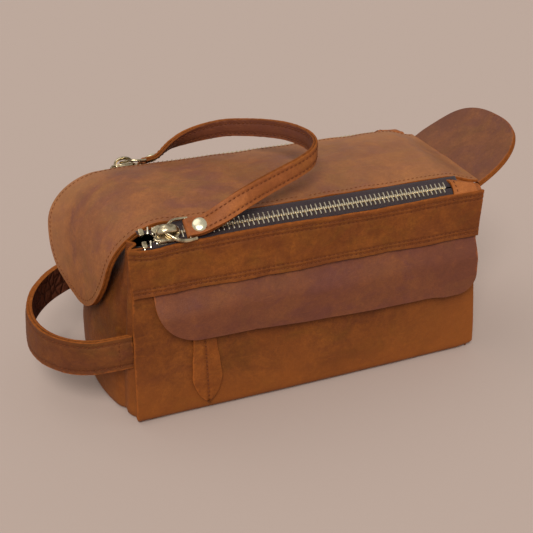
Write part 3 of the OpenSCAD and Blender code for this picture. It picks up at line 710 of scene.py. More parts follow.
def gusset_grid(bulge, fold, pleat):
    """End wall from its top edge down and in under the floor, as positive X.
    pleat scales the folds along its corners."""
    under = [(2.6, 1.0), (1.3, 3.2), (0.5, 7.5), (0.25, 14.0)]      # height, and how far in
    walls = np.arange(WALL_H, 3.9, -2.2)
    zs = np.concatenate([walls, [z for z, _ in under]])
    tuck = np.concatenate([np.zeros(len(walls)), [t for _, t in under]])
    half = half_depth(zs) - 0.9
    Y = eased(150, 0.35)[None, :] * half[:, None]
    Z = np.broadcast_to(zs[:, None], Y.shape)
    q = Y / half[:, None]
    swell = np.interp(zs, [0, 20, 40, 62, 85, 112, 129], [0.86, 0.95, 1.0, 0.82, 0.48, 0.22, 0.12])
    X = seam_x(zs)[:, None] - 0.6 + 4.0 * (1 - np.abs(q) ** 8)
    X = X + bulge * swell[:, None] * np.clip(1 - (Y / 62.0) ** 2, 0, 1)
    X = X - fold * smooth(72, 118, Z) * np.clip(1 - (Y / 50.0) ** 2, 0, 1) ** 0.7
    tall = (0.42 + 0.58 * smooth(30, 85, Z)) * pleat
    for side in (-1, 1):
        X = X + (2.6 * bell(side * Y, 59.0, 3.1) - 4.6 * bell(side * Y, 51.5, 3.0)) * tall
    X = X - tuck[:, None] * np.clip(1 - q ** 6, 0.0, 1)
    return np.stack([X, Y, Z], -1)


for end, bulge, fold, pleat, node in ((-1, 17.0, 8.0, 1.0, "left_gusset"),
                                      (1, 5.0, 3.0, 0.45, "right_gusset")):
    G = gusset_grid(bulge, fold, pleat)
    middle = np.clip(1 - (G[..., 1] / 62) ** 2, 0, 1) * smooth(0, 12, G[..., 2])
    G[..., 0] = end * (G[..., 0] + 0.8 * ripple(G, 42, 11 + end) * middle)
    fit(panel(node + "_leather", G, HIDE, BODY_TAN, flip=end < 0), "bag", [node])
    sew(node + "_stitches", G, grid_normals(G) * end, [(1.6, j) for j in range(4, G.shape[1] - 5)],
        "bag", seed=21 + end)


# ---------- bands along the top edges ----------


def band_grid(side):
    low, high = BAND_Z, WALL_H + 1.2
    sewn = (low + 3.0, low + 5.6, high - 3.4, high - 6.2)
    xs = spread(-127.6, 127.6, 1.25)
    vs = spread(low, high, 2.4, sewn, 0.55, 1.8)
    X, Zv = grid(xs, vs)
    X = X * (1 + 0.012 * (Zv - low) / (high - low))
    top = smooth(low + 8, high, Zv)
    drop = 1.5 * bell(X, -114, 11) - 1.2 * bell(X, -129, 6) + 0.5 * np.sin(X / 23.0)
    Z = Zv - top * drop if side < 0 else Zv - top * 0.5 * np.sin(X / 31.0)
    lowest = 1 - smooth(low, low + 8, Zv)
    Z = Z + lowest * (0.4 * np.sin(X / 19.0) + 0.35 * np.sin(X / 7.3))
    out = HIDE + 0.15 + wall_bulge(X, Zv, side) * 0.6 + (0.35 * np.sin(X / 27.0) + 0.5) * top + 0.55 * lowest
    B = on_front(X, out, Z, side)
    N = grid_normals(B) * -side
    dented, sunk = dent(B, N, [(Zv - z, X) for z in sewn], depth=0.45, pucker=0.28)
    return dented + N * (0.25 * ripple(B, 14, 31))[..., None], sunk, xs, vs, sewn


for side, node in ((-1, "front_band"), (1, "back_band")):
    B, sunk, xs, vs, sewn = band_grid(side)
    flip, N = facing(B, 5, 5, (0, side, 0))
    fit(panel(node + "_leather", B, HIDE, BAND_PAINTED_LIGHT_TAN, groove=sunk, flip=flip), "bag", [node])
    for k, z in enumerate(sewn):
        outer = k in (0, 2)
        sew(f"{node}_stitches_{k}", B, N, [(i, station(z, vs)) for i in np.linspace(2, len(xs) - 3, 400)],
            "bag", radius=0.34 if outer else 0.29, slant=0.3 if outer else -0.2, seed=40 + k)


# ---------- lid, left flap, right heel ----------


def flap_point(a, y, depth):
    """A point of the lid's left part: a mm left of the bend line's middle, y across, depth below the face."""
    u = a * math.cos(PHI) - y * math.sin(PHI)
    v = a * math.sin(PHI) + y * math.cos(PHI)
    bend = np.radians(np.clip(np.degrees(u / FLAP_R), 0, FLAP_BEND))
    past = np.maximum(u - FLAP_R * math.radians(FLAP_BEND), 0)
    r = FLAP_R - depth
    h = np.where(u < 0, u, r * np.sin(bend) + past * np.cos(bend))
    k = np.where(u < 0, depth, FLAP_R - r * np.cos(bend) + past * np.sin(bend))
    dome = crown(y) * (1 - np.clip(u / 60, 0, 1))
    return np.stack([FLAP_X0 - h * math.cos(PHI) - v * math.sin(PHI),
                     -h * math.sin(PHI) + v * math.cos(PHI), LID_Z + dome - k], -1)


def crown(y):
    """Rise of the lid's domed face above its long edges."""
    return LID_CROWN * (1 - (y / LID_HW) ** 2)


def flap_half(a, inset=0.0):
    """Half width of the flap at a, drawn in by inset."""
    t = np.clip((a - 18.0) / (FLAP_L - inset - 18.0), 0, 1)
    round_off = (FLAP_HW - inset) * np.maximum(0, 1 - t ** 3.1) ** (1 / 3.1)
    return round_off + (LID_HW - FLAP_HW) * (1 - smooth(-40, 0, a))


def lid_wave(S):
    return 0.5 * ripple(S, 48, 51) + 0.3 * ripple(S, 20, 52)


def flap_sheet(a0, depth):
    """Grid of one layer, from a0 on the lid to the tip. Rows near the tip lie closer together."""
    a = a0 + (FLAP_L - 0.03 - a0) * (1 - (1 - np.linspace(0, 1, 150)) ** 1.35)
    w = eased(86, 0.25)
    A = np.broadcast_to(a[:, None], (len(a), len(w)))
    S = flap_point(A, flap_half(a)[:, None] * w[None, :], depth)
    N = facing(S, 3, len(w) // 2, UP)[1]
    return S + N * (lid_wave(S) * smooth(a0, a0 + 14, A))[..., None], N, a, w


def outline_row(a, w, inset, start):
    """Stations of a stitch row round the whole flap, from one side of the lid to the other."""
    inner = np.linspace(start, FLAP_L - inset - 0.2, 420)
    share = flap_half(inner, inset) / np.maximum(flap_half(inner), 1e-3)
    near = list(zip(station(inner, a), station(-share, w)))
    return near + [(i, len(w) - 1 - j) for i, j in near[::-1]]


S, NS, a, w = flap_sheet(FLAP_X0, 0.0)
flip, _ = facing(S, 3, 40, UP)
FLAP_BLEND = ("lid", "left_flap", (FLAP_X0 + 4 * math.cos(PHI), 4 * math.sin(PHI), LID_Z),
              (FLAP_X0 - 20 * math.cos(PHI), -20 * math.sin(PHI), LID_Z))
fit(panel("lid_left_leather", S, HIDE, LID_TAN, flip=flip, seam=0.0), FLAP_BLEND,
    ["lid_panel", "left_flap_outer"])
fit(panel("flap_lower_leather", flap_sheet(-14.0, HIDE + 0.12)[0], HIDE - 0.1, LID_TAN, flip=flip),
    FLAP_BLEND, ["left_flap_inner"])
sew("lid_left_stitches", S, NS, outline_row(a, w, 3.4, -104.0), FLAP_BLEND, "lid_leather",
    radius=0.2, seed=61)

# the lid's right part runs down to the fixed heel
xs = np.concatenate([np.linspace(0, 96, 44), np.linspace(97.5, 131.6, 34)])
ys = np.linspace(-1, 1, 80)
X, across = grid(xs, LID_HW * ys)
fall = smooth(104, 133, X)
z_end = EAR_Z + 0.4 + 0.5 * (1 - (across / LID_HW) ** 2)
R = np.stack([X, across - 3.0 * smooth(112, 132, X), (LID_Z + crown(across)) * (1 - fall) + z_end * fall], -1)
flip, NR = facing(R, 5, 40, UP)
R = R + NR * (lid_wave(R) * smooth(0, 14, X))[..., None]
HEEL_BLEND = ("lid", "bag", (94, 0, LID_Z), (118, 0, LID_Z))
fit(panel("lid_right_leather", R, HIDE, LID_TAN, flip=flip, seam=0.0),
    HEEL_BLEND, ["lid_heel"])
for sign, tag in ((-1, "front"), (1, "rear")):
    j = station(sign * (LID_HW - 3.2) / LID_HW, ys)
    sew(f"lid_{tag}_stitches", R, NR, [(i, j) for i in np.linspace(0.2, len(xs) - 3, 300)],
        HEEL_BLEND, "lid_leather", radius=0.2, seed=65 + sign)


# ---------- right ear ----------


def ear_grid(offset):
    """One layer of the ear, offset mm below its upper face."""
    al = -2.2 + (EAR_L + 2.2 - 0.02) * (1 - (1 - np.linspace(0, 1, 60)) ** 1.5)
    w = eased(70, 0.3)
    hw = EAR_HW * np.maximum(0, 1 - (np.clip(al, 0, EAR_L) / EAR_L) ** 2.48) ** (1 / 2.48)
    A = np.broadcast_to(al[:, None], (len(al), len(w)))
    W = hw[:, None] * w[None, :]
    lift = 1.6 * (W / EAR_HW) ** 2 * smooth(0, 30, A) - 1.3 * bell(A, 24, 16) - offset
    c, s = math.cos(EAR_TILT), math.sin(EAR_TILT)
    return np.stack([EAR_X + A * c - lift * s, EAR_Y + W, EAR_Z + HIDE * 0.3 + A * s + lift * c], -1)


E = ear_grid(0.0)
flip, N = facing(E, 10, 30, UP)
E = E + N * (0.5 * ripple(E, 30, 71) * smooth(0, 12, E[..., 0] - EAR_X))[..., None]
EAR_BLEND = ("bag", "right_ear", (130, 0, 132), (137, 0, 136))
fit(panel("ear_upper_leather", E, HIDE - 0.1, EAR_BROWN, flip=flip),
    EAR_BLEND, ["right_ear_outer"])
fit(panel("ear_lower_leather", ear_grid(HIDE + 0.05), HIDE - 0.1, BODY_TAN, back=BODY_TAN, flip=flip),
    EAR_BLEND, ["right_ear_inner"])


# ---------- side handle ----------

HANDLE_ROWS = (-HANDLE_W / 2 + 3.2, HANDLE_W / 2 - 3.2)
HANDLE_BLEND = ("bag", "side_handle", (-132.5, 0, HANDLE_Z), (-146.5, 0, HANDLE_Z))


def handle_grid(inset):
    """Outer face of one layer of the loop: rows run round the loop, columns up its width."""
    around = np.radians(np.linspace(-90, 90, 150))
    lead = np.linspace(4.6, 0.8, 5)         # straight ends that run in under the front and back seams
    y_end = np.full(len(lead), HANDLE_HW - inset)
    x = np.concatenate([lead, -(HANDLE_REACH - inset) * np.cos(around), lead[::-1]])
    y = np.concatenate([-y_end, (HANDLE_HW - inset) * np.sin(around), y_end])
    hs = spread(-HANDLE_W / 2, HANDLE_W / 2, 2.2, HANDLE_ROWS, 0.6, 1.6)
    d = unit(np.gradient(np.stack([x, y], -1), axis=0))
    H = np.broadcast_to(hs[None, :], (len(x), len(hs)))
    puff = 0.5 * (1 - (2 * H / HANDLE_W) ** 2)
    X, Y = x[:, None] - d[:, 1:] * puff, y[:, None] + d[:, :1] * puff
    cosd, sind = math.cos(HANDLE_DROOP), math.sin(HANDLE_DROOP)
    ease = np.minimum(1, np.abs(X) / 20.0) * (X < 0)
    return np.stack([HANDLE_X + X * cosd + H * sind * ease, Y, HANDLE_Z + X * sind * ease + H], -1), hs


H1, hs = handle_grid(0.0)
flip, N = facing(H1, 80, 5, (-1, 0, 0))
along = arc(H1)
H1, sunk = dent(H1, N, [(np.broadcast_to(hs[None, :] - z, along.shape), along) for z in HANDLE_ROWS],
                depth=0.4, pucker=0.25)
H1 = H1 + N * (0.3 * ripple(H1, 22, 81))[..., None]
fit(panel("handle_outer_leather", H1, HIDE - 0.05, HANDLE_BROWN, groove=sunk, flip=flip),
    HANDLE_BLEND, ["side_handle_outer", "handle_stubs"])
fit(panel("handle_inner_leather", handle_grid(HIDE + 0.1)[0], HIDE - 0.1, HANDLE_BROWN, back=HANDLE_BACK,
          flip=flip), HANDLE_BLEND, ["side_handle_inner"])
for k, z in enumerate(HANDLE_ROWS):
    sew(f"handle_stitches_{k}", H1, N, [(i, station(z, hs)) for i in np.linspace(7, len(H1) - 8, 400)],
        HANDLE_BLEND, slant=0.28, seed=85 + k)
for k, i in enumerate((9.0, len(H1) - 10.0)):
    sew(f"handle_cross_stitches_{k}", H1, N, [(i, j) for j in np.linspace(3, len(hs) - 4, 60)],
        HANDLE_BLEND, seed=88 + k)


# ---------- front pocket ----------


def pocket_low(x):
    """Height of the pocket flap's lower edge: a wide round corner at its left, a small one at its right."""
    left, right, r_l, r_r = -114.0, 126.5, 30.0, 14.0
    base = 60.0 - 7.4 * np.clip((x + 84.0) / 196.5, 0, 1)
    base = base + 0.5 * bell(x, 88, 9) - 0.6 * bell(x, 104, 8) + 0.25 * np.sin(x / 9.0)
    l_curve = r_l - np.sqrt(np.maximum(0, r_l ** 2 - np.maximum(0, left + r_l - x) ** 2))
    r_curve = r_r - np.sqrt(np.maximum(0, r_r ** 2 - np.maximum(0, x - right + r_r) ** 2))
    return base + l_curve + r_curve


px = np.concatenate([-84 - 30 * np.cos(np.linspace(0.02, math.pi / 2, 22)), np.linspace(-82, 111.5, 128),
                     112.5 + 14 * np.sin(np.linspace(0.02, 1.555, 14))])
X, V = grid(px, np.concatenate([np.linspace(0, 0.2, 8), np.linspace(0.24, 1, 36)]))
top_z = BAND_Z + 0.2
Z = top_z + (pocket_low(X) - top_z) * V
drop = top_z - Z
stand = 0.2 + 6.9 * smooth(-3, 19, drop) - 0.4 * smooth(26, 42, drop)
stand = stand + smooth(4, 20, drop) * (0.9 * np.sin(X / 21.0 + 0.5) * bell(drop, 26, 22)
                                       + 0.22 * np.sin(X / 9.0) * smooth(20, 42, drop))
stand = stand + 0.5 * bell(X - 0.28 * drop, 88, 3.2) * smooth(6, 22, drop)
F = on_front(X, stand + wall_bulge(X, Z, -1) * 0.85, Z)
flip, N = facing(F, 40, 20, FRONT)
F = F + N * (0.3 * ripple(F, 26, 91))[..., None]
_, hinge_y, hinge_z = on_front(0, 2, BAND_Z - 0.4)
fit(panel("pocket_flap_leather", F, 1.8, POCKET_BROWN, flip=flip),
    ("bag", "pocket_flap", (0, hinge_y, hinge_z + 0.5), (0, hinge_y, hinge_z - 5.0)),
    ["pocket_flap"])

# woven tapes, teeth and the bag behind the pocket's slot
for sign, tag in ((1, "upper"), (-1, "lower")):
    X, Z = grid(np.linspace(POCKET_X0 - 5, POCKET_X1 + 5, 120), POCKET_Z + sign * np.linspace(1.0, 14.0, 9))
    T = on_front(X, -HIDE - 0.25 + wall_bulge(X, Z, -1) - 0.12 * np.sin(X / 6.0), Z)
    woven(f"pocket_tape_{tag}", T, 0.5, TAPE, (5, 4), FRONT, "bag", ["pocket_zip_tapes"])


def tooth_template():
    """Rings of a zip tooth, from the head that locks over the middle to its foot on the tape."""
    stations = [(-1.15, 0.30, 0.55), (-0.9, 0.62, 0.95), (-0.1, 0.74, 1.12), (0.5, 0.66, 1.15),
                (1.0, 0.50, 1.18), (3.1, 0.52, 1.2), (3.9, 0.50, 1.1), (4.25, 0.30, 0.75)]
    eight = [(1, 0.55), (0.62, 1), (-0.62, 1), (-1, 0.55), (-1, -0.55), (-0.62, -1), (0.62, -1), (1, -0.55)]
    V = np.array([[hw * e[0], along, hh * e[1]] for along, hw, hh in stations for e in eight])
    b = (len(stations) - 1) * len(eight)
    quads = ring_faces(len(stations), len(eight)) + [[0, 1, 2, 3], [4, 5, 6, 7], [0, 3, 4, 7]]
    quads += [[b, b + 3, b + 2, b + 1], [b + 4, b + 7, b + 6, b + 5], [b, b + 7, b + 4, b + 3]]
    return V, np.array(quads)


def tooth_row(name, places, to_world, scale=1.0, sign=1):
    """Teeth at places (x, offset from the middle, extra turn); sign 1 points its feet to the lid."""
    V, quads = tooth_template()
    verts, faces = [], []
    for i, (x, gap, turn) in enumerate(places):
        c, s = math.cos(turn), math.sin(turn)
        lx, ly = V[:, 0] * scale, V[:, 1] * scale + gap
        verts.append(to_world(x + lx * c - ly * s * sign, sign * (ly * c) + lx * s, V[:, 2] * scale))
        faces.append(quads + i * len(V))
    return sharpen(add_mesh(name, np.concatenate(verts), np.concatenate(faces), [TEETH]), 40)


def on_pocket_zip(x, across, up):
    return on_front(x, -HIDE + 0.2 + up + wall_bulge(x, POCKET_Z, -1), POCKET_Z + across)


for sign, tag in ((1, "upper"), (-1, "lower")):
    places = [(x + (0 if sign > 0 else POCKET_PITCH / 2), 0.0, 0.0)
              for x in np.arange(POCKET_X0 + 1, POCKET_X1 - 2, POCKET_PITCH)]
    fit(tooth_row(f"pocket_teeth_{tag}", places, on_pocket_zip, scale=0.72, sign=sign),
        "bag", ["pocket_zip_teeth"])

X, Z = grid(np.linspace(POCKET_X0 - 9, POCKET_X1 + 7, 90), np.linspace(16, 93, 40))
T = on_front(X, -7.2 + ripple(np.stack([X, Z, Z * 0], -1), 25, 95), Z)
woven("pocket_lining_cloth", T, 0.6, CLOTH, (5, 4), FRONT, "bag", ["pocket_bag"])


# pull tab: leaf of leather on a metal link
def leaf_half(s):
    """Half width of the leaf, s mm up from its tip."""
    tip = 10.5 * np.sin(np.radians(90 * np.clip(s / 21, 0, 1))) ** 0.62
    return tip * (1 - 0.42 * (np.maximum(0, s - 21) / 42) ** 1.1)


wv = eased(30, 0.3)
up, W = grid((POCKET_Z - 10.5 - TAB_TIP) * np.linspace(0.012, 1, 64) ** 1.5, wv)
side_x = leaf_half(up) * W * (1 + 0.015 * np.sin(up / 2.3))
curl = 2.3 + wall_bulge(TAB_X, TAB_TIP + up, -1) + 0.55 * (1 - W ** 2) - 0.3 * bell(up, 0, 10)
T = on_front(TAB_X + side_x, curl, TAB_TIP + up)
flip, N = facing(T, 20, 15, FRONT)
T, sunk = dent(T, N, [(side_x, arc(T))], pitch=3.3, depth=0.5, pucker=0.3)
T = T + N * (0.16 * ripple(T, 9, 97))[..., None]
fit(panel("pocket_tab_leather", T, 1.7, TAB_TAN, groove=sunk, flip=flip),
    "pocket_puller", ["pocket_tab"])
sew("tab_stitches", T, N, [(i, station(0.0, wv)) for i in range(9, len(T) - 2)],
    "pocket_puller", "dark_leather", pitch=2.9, length=1.9, radius=0.42, slant=0.35, seed=98)


def on_tab(x, y, up):
    return on_front(TAB_X + x, 0.6 + up + wall_bulge(TAB_X, POCKET_Z, -1), POCKET_Z + y)


link = slab(round_box(-4.5, 4.5, -10.8, 3.4, 3.2), 0.9, 2.2, 0.35, on_tab, "pocket_link_metal",
            hole=(0, -6.5, 3.0, 1.6))
fit(link, "pocket_puller", ["pocket_link"])
plate = slab(round_box(-6.5, 6.5, -4.4, 4.4, 2.6), -0.9, 0.5, 0.4, on_tab, "pocket_slider_plate")
stud = slab(round_box(-2.4, 2.4, -2.4, 2.4, 2.39), 0.4, 3.1, 0.6, on_tab, "pocket_slider_stud")
fit(joined("pocket_slider_metal", [plate, stud]), "pocket_slider", ["pocket_slider"])


# ---------- long zips ----------


def parted(x):
    """1 where the zip is open, left of the slider, and 0 where it is closed."""
    return 1 - smooth(-119, -101, x)


def long_zip(side, where):
    """Tapes, teeth and stops of one long zip, then the leather cover over its right end."""
    def z_frame(x, across, up):
        return on_zip(x, across, up, side)

    xs = np.concatenate([np.linspace(-119, -98, 22), np.linspace(-96, ZIP_X1 + 9, 114)])
    X, V = grid(xs, np.linspace(0, 1, 16))
    gap = 0.8 + 4.2 * parted(X)
    sink = -0.5 - 1.8 * parted(X) - 7.0 * smooth(0.72, 1.0, V) ** 1.3
    sink = sink + 0.18 * np.sin(X / 7.0) * bell(V, 0.4, 0.3)
    T = z_frame(X, -gap - (8.0 - 4.4 * parted(X)) * V, sink)
    woven(f"{where}_body_tape_weave", T, 0.5, TAPE, (40, 5), UP, "bag", [f"{where}_body_tape"])
    sink = -0.5 - 1.6 * parted(X) - 2.6 * smooth(0.5, 1.0, V)
    T = z_frame(X, gap + (4.2 + 9.3 * smooth(-108, -95, X)) * V, sink)
    under_lid = np.abs(T[..., 1]) <= LID_HW
    T[..., 2] = np.where(under_lid, np.minimum(T[..., 2], LID_Z - HIDE - 0.35), T[..., 2])
    woven(f"{where}_lid_tape_weave", T, 0.5, TAPE, (40, 5), UP, "lid", [f"{where}_lid_tape"])

    def on_parted(x, across, up):
        return z_frame(x, across, up - 1.6 * (1 - smooth(-119, -103, x)))

    halves = ((-1, "bag", "body"), (1, "lid", "lid"))
    for sign, body, tag in halves:
        places = []
        for i in range(-2, int((ZIP_X1 - ZIP_X0) / PITCH)):
            x = ZIP_X0 + (i + (0.5 if sign > 0 else 0.0)) * PITCH + 1.3
            part = 1 - float(smooth(-116, -103, x))
            places.append((x, 4.3 * part, -0.25 * part))
        fit(tooth_row(f"{where}_{tag}_teeth_brass", places, on_parted, sign=sign),
            body, [f"{where}_{tag}_teeth"])
    for sign, body, tag in halves:
        near, far = sorted((2.2 * sign, 7.2 * sign))
        fit(slab(round_box(-118.5, -115.3, near, far, 1.0), -2.6, 0.4, 0.4, z_frame, f"{where}_{tag}_stop"),
            body, [f"{tag}_zip_stops"])

    us, cs = np.linspace(0, 1, 34), np.linspace(-1, 1, 30)
    U, C = grid(us, cs)
    left = ZIP_X1 + 0.5 + 1.3 * (1 - C ** 2)
    X = left + (129.2 - left) * U
    puff = 1.35 + 0.5 * (1 - C ** 2) * (1 - 0.6 * U) - 2.2 * smooth(0.75, 1, U) * (1 - 0.4 * C)
    puff = puff - (2.7 if side < 0 else 4.2) * smooth(0.3, 1, C)
    T = z_frame(X, np.where(C < 0, 7.6, 8.4) * C, puff)
    T[..., 2] -= 5.5 * smooth(105, 130, X) * smooth(-0.4, 1.0, C)
    flip, N = facing(T, 10, 15, UP)
    T = T + N * (0.2 * ripple(T, 10, 101))[..., None]
    fit(panel(f"{where}_end_cover_leather", T, 1.6, STRAP_TAN, flip=flip), "bag",
        [f"{where}_end_cover"])
    i = station(2.6 / 22, us)
    sew(f"{where}_end_cover_stitches", T, N, [(i, j) for j in np.linspace(2, len(cs) - 3, 80)], "bag",
        pitch=3.0, length=2.2, radius=0.34, seed=103)


for side, where in SIDES:
    long_zip(side, where)


# ---------- sliders, shackles, strap ----------


def slider_parts(side, where):
    def z_frame(x, y, z):
        return on_zip(x, y, z, side)

    def block(outline, low, high, bevel):
        parts.append(slab(outline, low, high, bevel, z_frame, f"{where}_slider_{len(parts)}"))

    parts = []
    nose = [(8.5 * math.cos(w) + 0.5, 6.3 * math.sin(w)) for w in np.linspace(-1.25, 1.25, 12)]
    butt = [(-1, 6.4), (-5, 6.1), (-8.5, 4.6), (-9.2, 3.0), (-7.4, 0.9), (-7.2, 0),
            (-7.4, -0.9), (-9.2, -3.0), (-8.5, -4.6), (-5, -6.1), (-1, -6.4)]
    outline = [(SLIDER_X + x, y) for x, y in nose + butt]
    block(outline, 1.55, 2.9, 0.45)
    block(outline, -2.9, -1.6, 0.4)
    for s in (-1, 1):
        flange = round_box(SLIDER_X - 6.5, SLIDER_X + 6, *sorted((5.3 * s, 6.3 * s)), 0.45, 3)
        block(flange, 0.6, 1.8, 0.2)
        block(flange, -1.8, -0.6, 0.2)
    block(round_box(SLIDER_X - 7.2, SLIDER_X - 3.6, -0.8, 0.8, 0.7, 3), -1.9, 1.9, 0.1)
    # arched crown, wide and flat, open underneath, with a rib along it
    t = np.linspace(0, math.pi, 22)
    top = z_frame(0, 0, 1) - z_frame(0, 0, 0)
    for reach, foot, height, radius, squash in ((6.6, 2.0, 5.6, 2.9 - 0.9 * np.abs(np.cos(t)) ** 3, 0.42),
                                                (6.9, 2.1, 6.1, 0.9, 0.7)):
        path = z_frame(SLIDER_X + 0.6 - reach * np.cos(t), 0 * t, foot + height * np.sin(t) ** 0.75)
        parts.append(tube(f"{where}_slider_{len(parts)}", path, radius, [ANTIQUE], squash=squash, up=top))
    return joined(f"{where}_slider_metal", parts)


def shackle_parts(side, where):
    """A bow through the crown, two legs that spread out, and the cross pin between their ends."""
    parts = []
    front = [(-2.5, 0.0), (-1.2, -1.8), (1.0, -4.6), (4.5, -7.6), (9.0, -8.6), (13.5, -8.3), (17.5, -7.6)]
    rear = [(-2.5, 0.0), (-1.2, 1.8), (1.0, 4.6), (4.5, 7.4), (9.0, 8.2), (13.5, 7.9), (14.8, 7.7)]
    for pts, r, tag in ((front, 1.25, "a"), (rear, 0.95, "b")):
        s = np.linspace(0, len(pts) - 1, 40)
        x, y = (np.convolve(np.pad(np.interp(s, np.arange(len(pts)), c), 3, "edge"), np.ones(7) / 7, "valid")
                for c in np.array(pts).T)
        wire = on_zip(CROWN_X + x, y, HANG + 1.4 - 1.4 * smooth(0, 12, x), side)
        parts.append(tube(f"{where}_leg_{tag}", wire, r, [ANTIQUE], sides=12))
    pin = on_zip(PIN_X, np.linspace(-8.0, 7.6, 6), HANG, side)
    parts.append(tube(f"{where}_pin", pin, 0.9, [ANTIQUE], sides=12))
    return joined(f"{where}_shackle_metal", parts)


for side, where in SIDES:
    fit(slider_parts(side, where), "sliders", [f"{where}_slider"])
    fit(shackle_parts(side, where), "shackles", [f"{where}_shackle", f"{where}_shackle_pin"])

# the strap's middle line, and how far its width lies over, in degrees
ROUTE = [(-88.0, -57.3, 136.6, 58), (-82, -58.0, 137.0, 58), (-76, -58.6, 138.6, 58), (-67, -59.4, 143.2, 50),
         (-53, -57.2, 149.3, 30), (-38, -53.8, 154.1, 14), (-23, -50.4, 158.1, 6), (-8, -46.8, 161.8, 2),
         (3, -41.4, 164.4, 0), (10, -32, 166, 0), (12, -19, 167, 0), (10, -5, 166.5, 0), (5, 10, 165.2, 0),
         (-4, 25, 163, 0), (-14, 37.5, 160.5, 2), (-26, 48, 158, 6), (-40, 55, 154.3, 14),
         (-54, 58.5, 150.2, 30), (-66, 59.4, 145.4, 50), (-76, 58.6, 138.6, 58), (-82, 58.0, 137.0, 58),
         (-88.0, 57.3, 136.6, 58)]
STRAP_ROWS = (STRAP_W / 2 - 2.6, -STRAP_W / 2 + 2.6)


def spline(points, u):
    """Catmull-Rom curve through points, at u counted in points."""
    p = np.asarray(points, float)
    i = np.clip(np.floor(u).astype(int), 0, len(p) - 2)
    t = (u - i)[:, None]
    a0, a1, a2, a3 = (p[np.clip(i + k, 0, len(p) - 1)] for k in (-1, 0, 1, 2))
    return 0.5 * (2 * a1 + (a2 - a0) * t + (2 * a0 - 5 * a1 + 4 * a2 - a3) * t ** 2
                  + (3 * a1 - a0 - 3 * a2 + a3) * t ** 3)


route = spline(ROUTE, np.linspace(0, len(ROUTE) - 1, 330))
centre, lay = route[:, :3], np.radians(route[:, 3])[:, None]
d = unit(np.gradient(centre, axis=0))
out = unit(np.cross(d, np.array([0, 0, 1.0])))
top = np.cross(out, d)
wide = top * np.cos(lay) - out * np.sin(lay)
thick = out * np.cos(lay) + top * np.sin(lay)
ws = spread(-STRAP_W / 2, STRAP_W / 2, 1.9, STRAP_ROWS, 0.6, 1.5)

for sign, tag, face, cut, nodes in ((1, "outer", STRAP_TAN, RAW, ["top_strap"]),
                                    (-1, "inner", POCKET_BROWN, RAW_DARK, [])):
    puff = 1.5 + 0.25 * (1 - (2 * ws / STRAP_W) ** 2)
    Q = centre[:, None, :] + wide[:, None, :] * ws[None, :, None]
    Q = Q + sign * thick[:, None, :] * puff[None, :, None]
    flip, N = facing(Q, 150, 4, sign * thick[150])
    lines = [(np.broadcast_to(ws[None, :] - z, Q.shape[:2]), arc(Q)) for z in STRAP_ROWS]
    Q, sunk = dent(Q, N, lines, depth=0.3, pucker=0.12)
    fit(panel(f"strap_{tag}_leather", Q, 1.46, face, cut, groove=sunk, flip=flip), "strap", nodes)
    for k, z in enumerate(STRAP_ROWS):
        path = [(i, station(z, ws)) for i in np.linspace(24, len(Q) - 25, 500)]
        sew(f"strap_{tag}_stitches_{k}", Q, N, path, "strap", radius=0.36, seed=111 + k)

# rings of a rivet's domed cap: radius and height above the strap's middle
RIVET = np.array([(0.0, 3.35), (1.6, 3.28), (3.2, 3.0), (4.4, 2.5), (5.0, 2.0), (5.2, 1.5)])
for side, where in SIDES:
    # folded eye round the cross pin
    across = on_zip(0, 1, 0, side) - on_zip(0, 0, 0, side)
    path = on_zip(PIN_X, 0, HANG, side) + across * (np.linspace(-1, 1, 12)[:, None] * STRAP_W / 2)
    fit(tube(f"{where}_strap_eye", path, 2.15, [STRAP_TAN, RAW], sides=20, squash=0.95, up=(1, 0, 0)),
        "strap")
    # rivet with a domed cap, through the strap's tail
    tail = np.arange(60) if side < 0 else np.arange(len(centre) - 60, len(centre))
    k = tail[int(np.argmin(np.abs(centre[tail, 0] - RIVET_X)))]
    n_s = 40
    turn = np.arange(n_s) * 2 * math.pi / n_s
    for tag, scale, metal, nodes in (("cap", (1.0, 1.0), CAP_BRASS, [f"{where}_rivet"]),
                                     ("back", (0.72, -0.7), ANTIQUE, [])):
        V = np.concatenate([centre[k] + unit(d[k]) * (r * np.cos(turn))[:, None]
                            + unit(wide[k]) * (r * np.sin(turn))[:, None] + unit(thick[k]) * z
                            for r, z in (RIVET * scale)[::-1]])
        fit(sharpen(add_mesh(f"{where}_rivet_{tag}", V, ring_faces(len(RIVET), n_s), [metal]), 60),
            "strap", nodes)


# ---------- linings ----------


def lining_walls():
    """Rings round the inside, from the top down. The pocket takes up more room at the front."""
    around = []
    for z in np.linspace(WALL_H - 3, 4, 46):
        hx = seam_x(z) - 0.5
        o = np.array(round_box(-hx, hx, -half_depth(z) + 8.8, half_depth(z) - 3.1, 7.0, 8))
        loop = np.vstack([o, o[:1]])
        s = arc(loop)
        at = np.linspace(0, s[-1], 220)
        around.append(np.stack([np.interp(at, s, loop[:, 0]), np.interp(at, s, loop[:, 1]),
                                np.full_like(at, z)], -1))
    return np.array(around)


